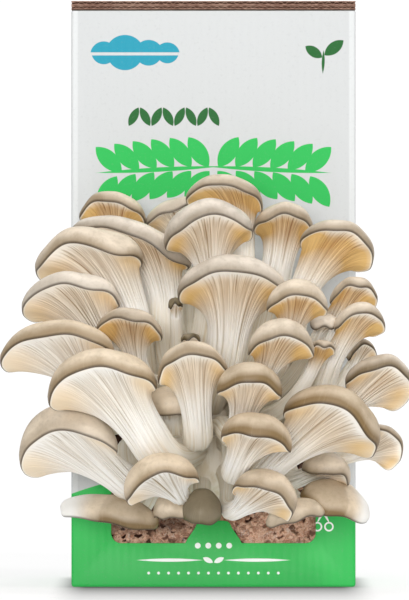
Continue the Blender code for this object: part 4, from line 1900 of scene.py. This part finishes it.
        piece = add_object("crumbs", mesh)
        return finish_piece(piece, "pressed_block_crumbs", [material], "growing_block")


# The studio


def grey(light: float) -> Colour:
    """Return a grey, in linear light."""
    return (light, light, light)


@dataclass(frozen=True)
class Sun:
    """A soft far light.

    name: its name.
    azimuth: degrees to the right of the camera.
    elevation: degrees up.
    spread: how wide it is, in degrees.
    light: how bright a white surface that faces it gets.
    """

    name: str
    azimuth: float
    elevation: float
    spread: float
    light: float


SUNS = (
    Sun("front", -5.0, 5.0, 20.0, 0.55),
    Sun("key", 24.0, 38.0, 10.0, 0.24),
    Sun("right", 62.0, 38.0, 10.0, 0.13),
    Sun("left", -48.0, 42.0, 20.0, 0.09),
    Sun("top", 0.0, 84.0, 60.0, 0.34),
    Sun("back", 170.0, 34.0, 60.0, 0.20),
)


@dataclass(frozen=True)
class Studio:
    """The pale floor with a painted shadow in front of the carton, the soft lights, and the camera at the
    photograph's viewing angle.
    """

    distance: float = 2.5
    view_height: float = 0.2406
    sensor: float = 36.0
    target: tuple[float, float, float] = (-0.0036, -0.048, 0.1151)
    floor_size: float = 12.0
    floor_colour: float = 0.35
    floor_light: float = 0.50
    floor_seen: float = 0.68
    floor_shaded: float = 0.02
    world_light: float = 0.24
    world_seen: float = 1.05
    shadow_fade_length: float = 75.0
    contact_shadow_length: float = 5.0

    def build(self) -> None:
        """Make everything that isn't the object."""
        self.build_camera()
        self.build_floor()
        self.build_world()
        for sun in SUNS:
            self.add_sun(sun)

    def build_camera(self) -> None:
        """Make the camera, level and far away, as the photograph shows no lines that meet."""
        data = bpy.data.cameras.new("camera")
        data.sensor_width = self.sensor
        data.lens = self.sensor * self.distance / self.view_height
        data.clip_end = 20.0
        camera = add_object("camera", data)
        camera.location = Vector(self.target) - Vector((0, self.distance, 0))
        camera.rotation_euler = (math.radians(90), 0, 0)
        bpy.context.scene.camera = camera

    def build_floor(self) -> None:
        deselect()
        bpy.ops.mesh.primitive_plane_add(size=self.floor_size)
        floor = bpy.context.object
        floor.name = "floor"
        graph = Graph("pale_floor", 0.9, Specular_IOR_Level=0.0, Emission_Strength=1.0)
        right, back, _ = graph.millimetres()
        # painted shadow: the floor's glow and colour darken in front of the carton and close to its sides,
        # fading away from it
        forward = (-FRONT - back).most(0.0)
        fade = forward.fade(self.shadow_fade_length) * 0.8 + forward.fade(self.contact_shadow_length) * 0.2
        shade = fade * abs(right).rise(HALF_WIDTH + 9.0, HALF_WIDTH - 7.0)
        shade *= back.rise(FRONT + 10.0, FRONT - 30.0)
        seen = Number(graph, graph.node("ShaderNodeLightPath").outputs["Is Camera Ray"])
        glow = graph.mix(shade, grey(self.floor_seen), grey(self.floor_shaded))
        glow = graph.mix(seen, grey(self.floor_light), glow)
        graph.feed(graph.shader.inputs["Emission Color"], glow)
        colour = graph.mix(shade, grey(self.floor_colour), grey(self.floor_shaded))
        floor.data.materials.append(graph.finish(colour))

    def build_world(self) -> None:
        """Make a white surround that lights softly."""
        world = bpy.data.worlds.new("surround")
        world.use_nodes = True
        tree = world.node_tree
        background = tree.nodes["Background"]
        background.inputs["Color"].default_value = (1.0, 1.0, 1.0, 1.0)
        seen = tree.nodes.new("ShaderNodeLightPath")
        strength = tree.nodes.new("ShaderNodeMapRange")
        strength.inputs["To Min"].default_value = self.world_light
        strength.inputs["To Max"].default_value = self.world_seen
        tree.links.new(seen.outputs["Is Camera Ray"], strength.inputs["Value"])
        tree.links.new(strength.outputs["Result"], background.inputs["Strength"])
        bpy.context.scene.world = world
        bpy.context.scene.view_settings.view_transform = "Standard"

    def add_sun(self, sun: Sun) -> None:
        """Add one of the lights.

        Args:
            sun: what it is like.
        """
        data = bpy.data.lights.new(sun.name, "SUN")
        data.energy = sun.light * math.pi
        data.angle = math.radians(sun.spread)
        lamp = add_object(sun.name, data)
        lamp.rotation_euler = (math.radians(90.0 - sun.elevation), 0.0, math.radians(sun.azimuth))


def main() -> None:
    logging.basicConfig(level=logging.INFO, format="%(name)s: %(message)s")
    Studio().build()
    pieces = Carton().build() + GrowingBlock().build() + Cluster().build()
    log.info("%d pieces, %d faces", len(pieces), sum(len(piece.data.polygons) for piece in pieces))


if __name__ == "__main__":
    main()
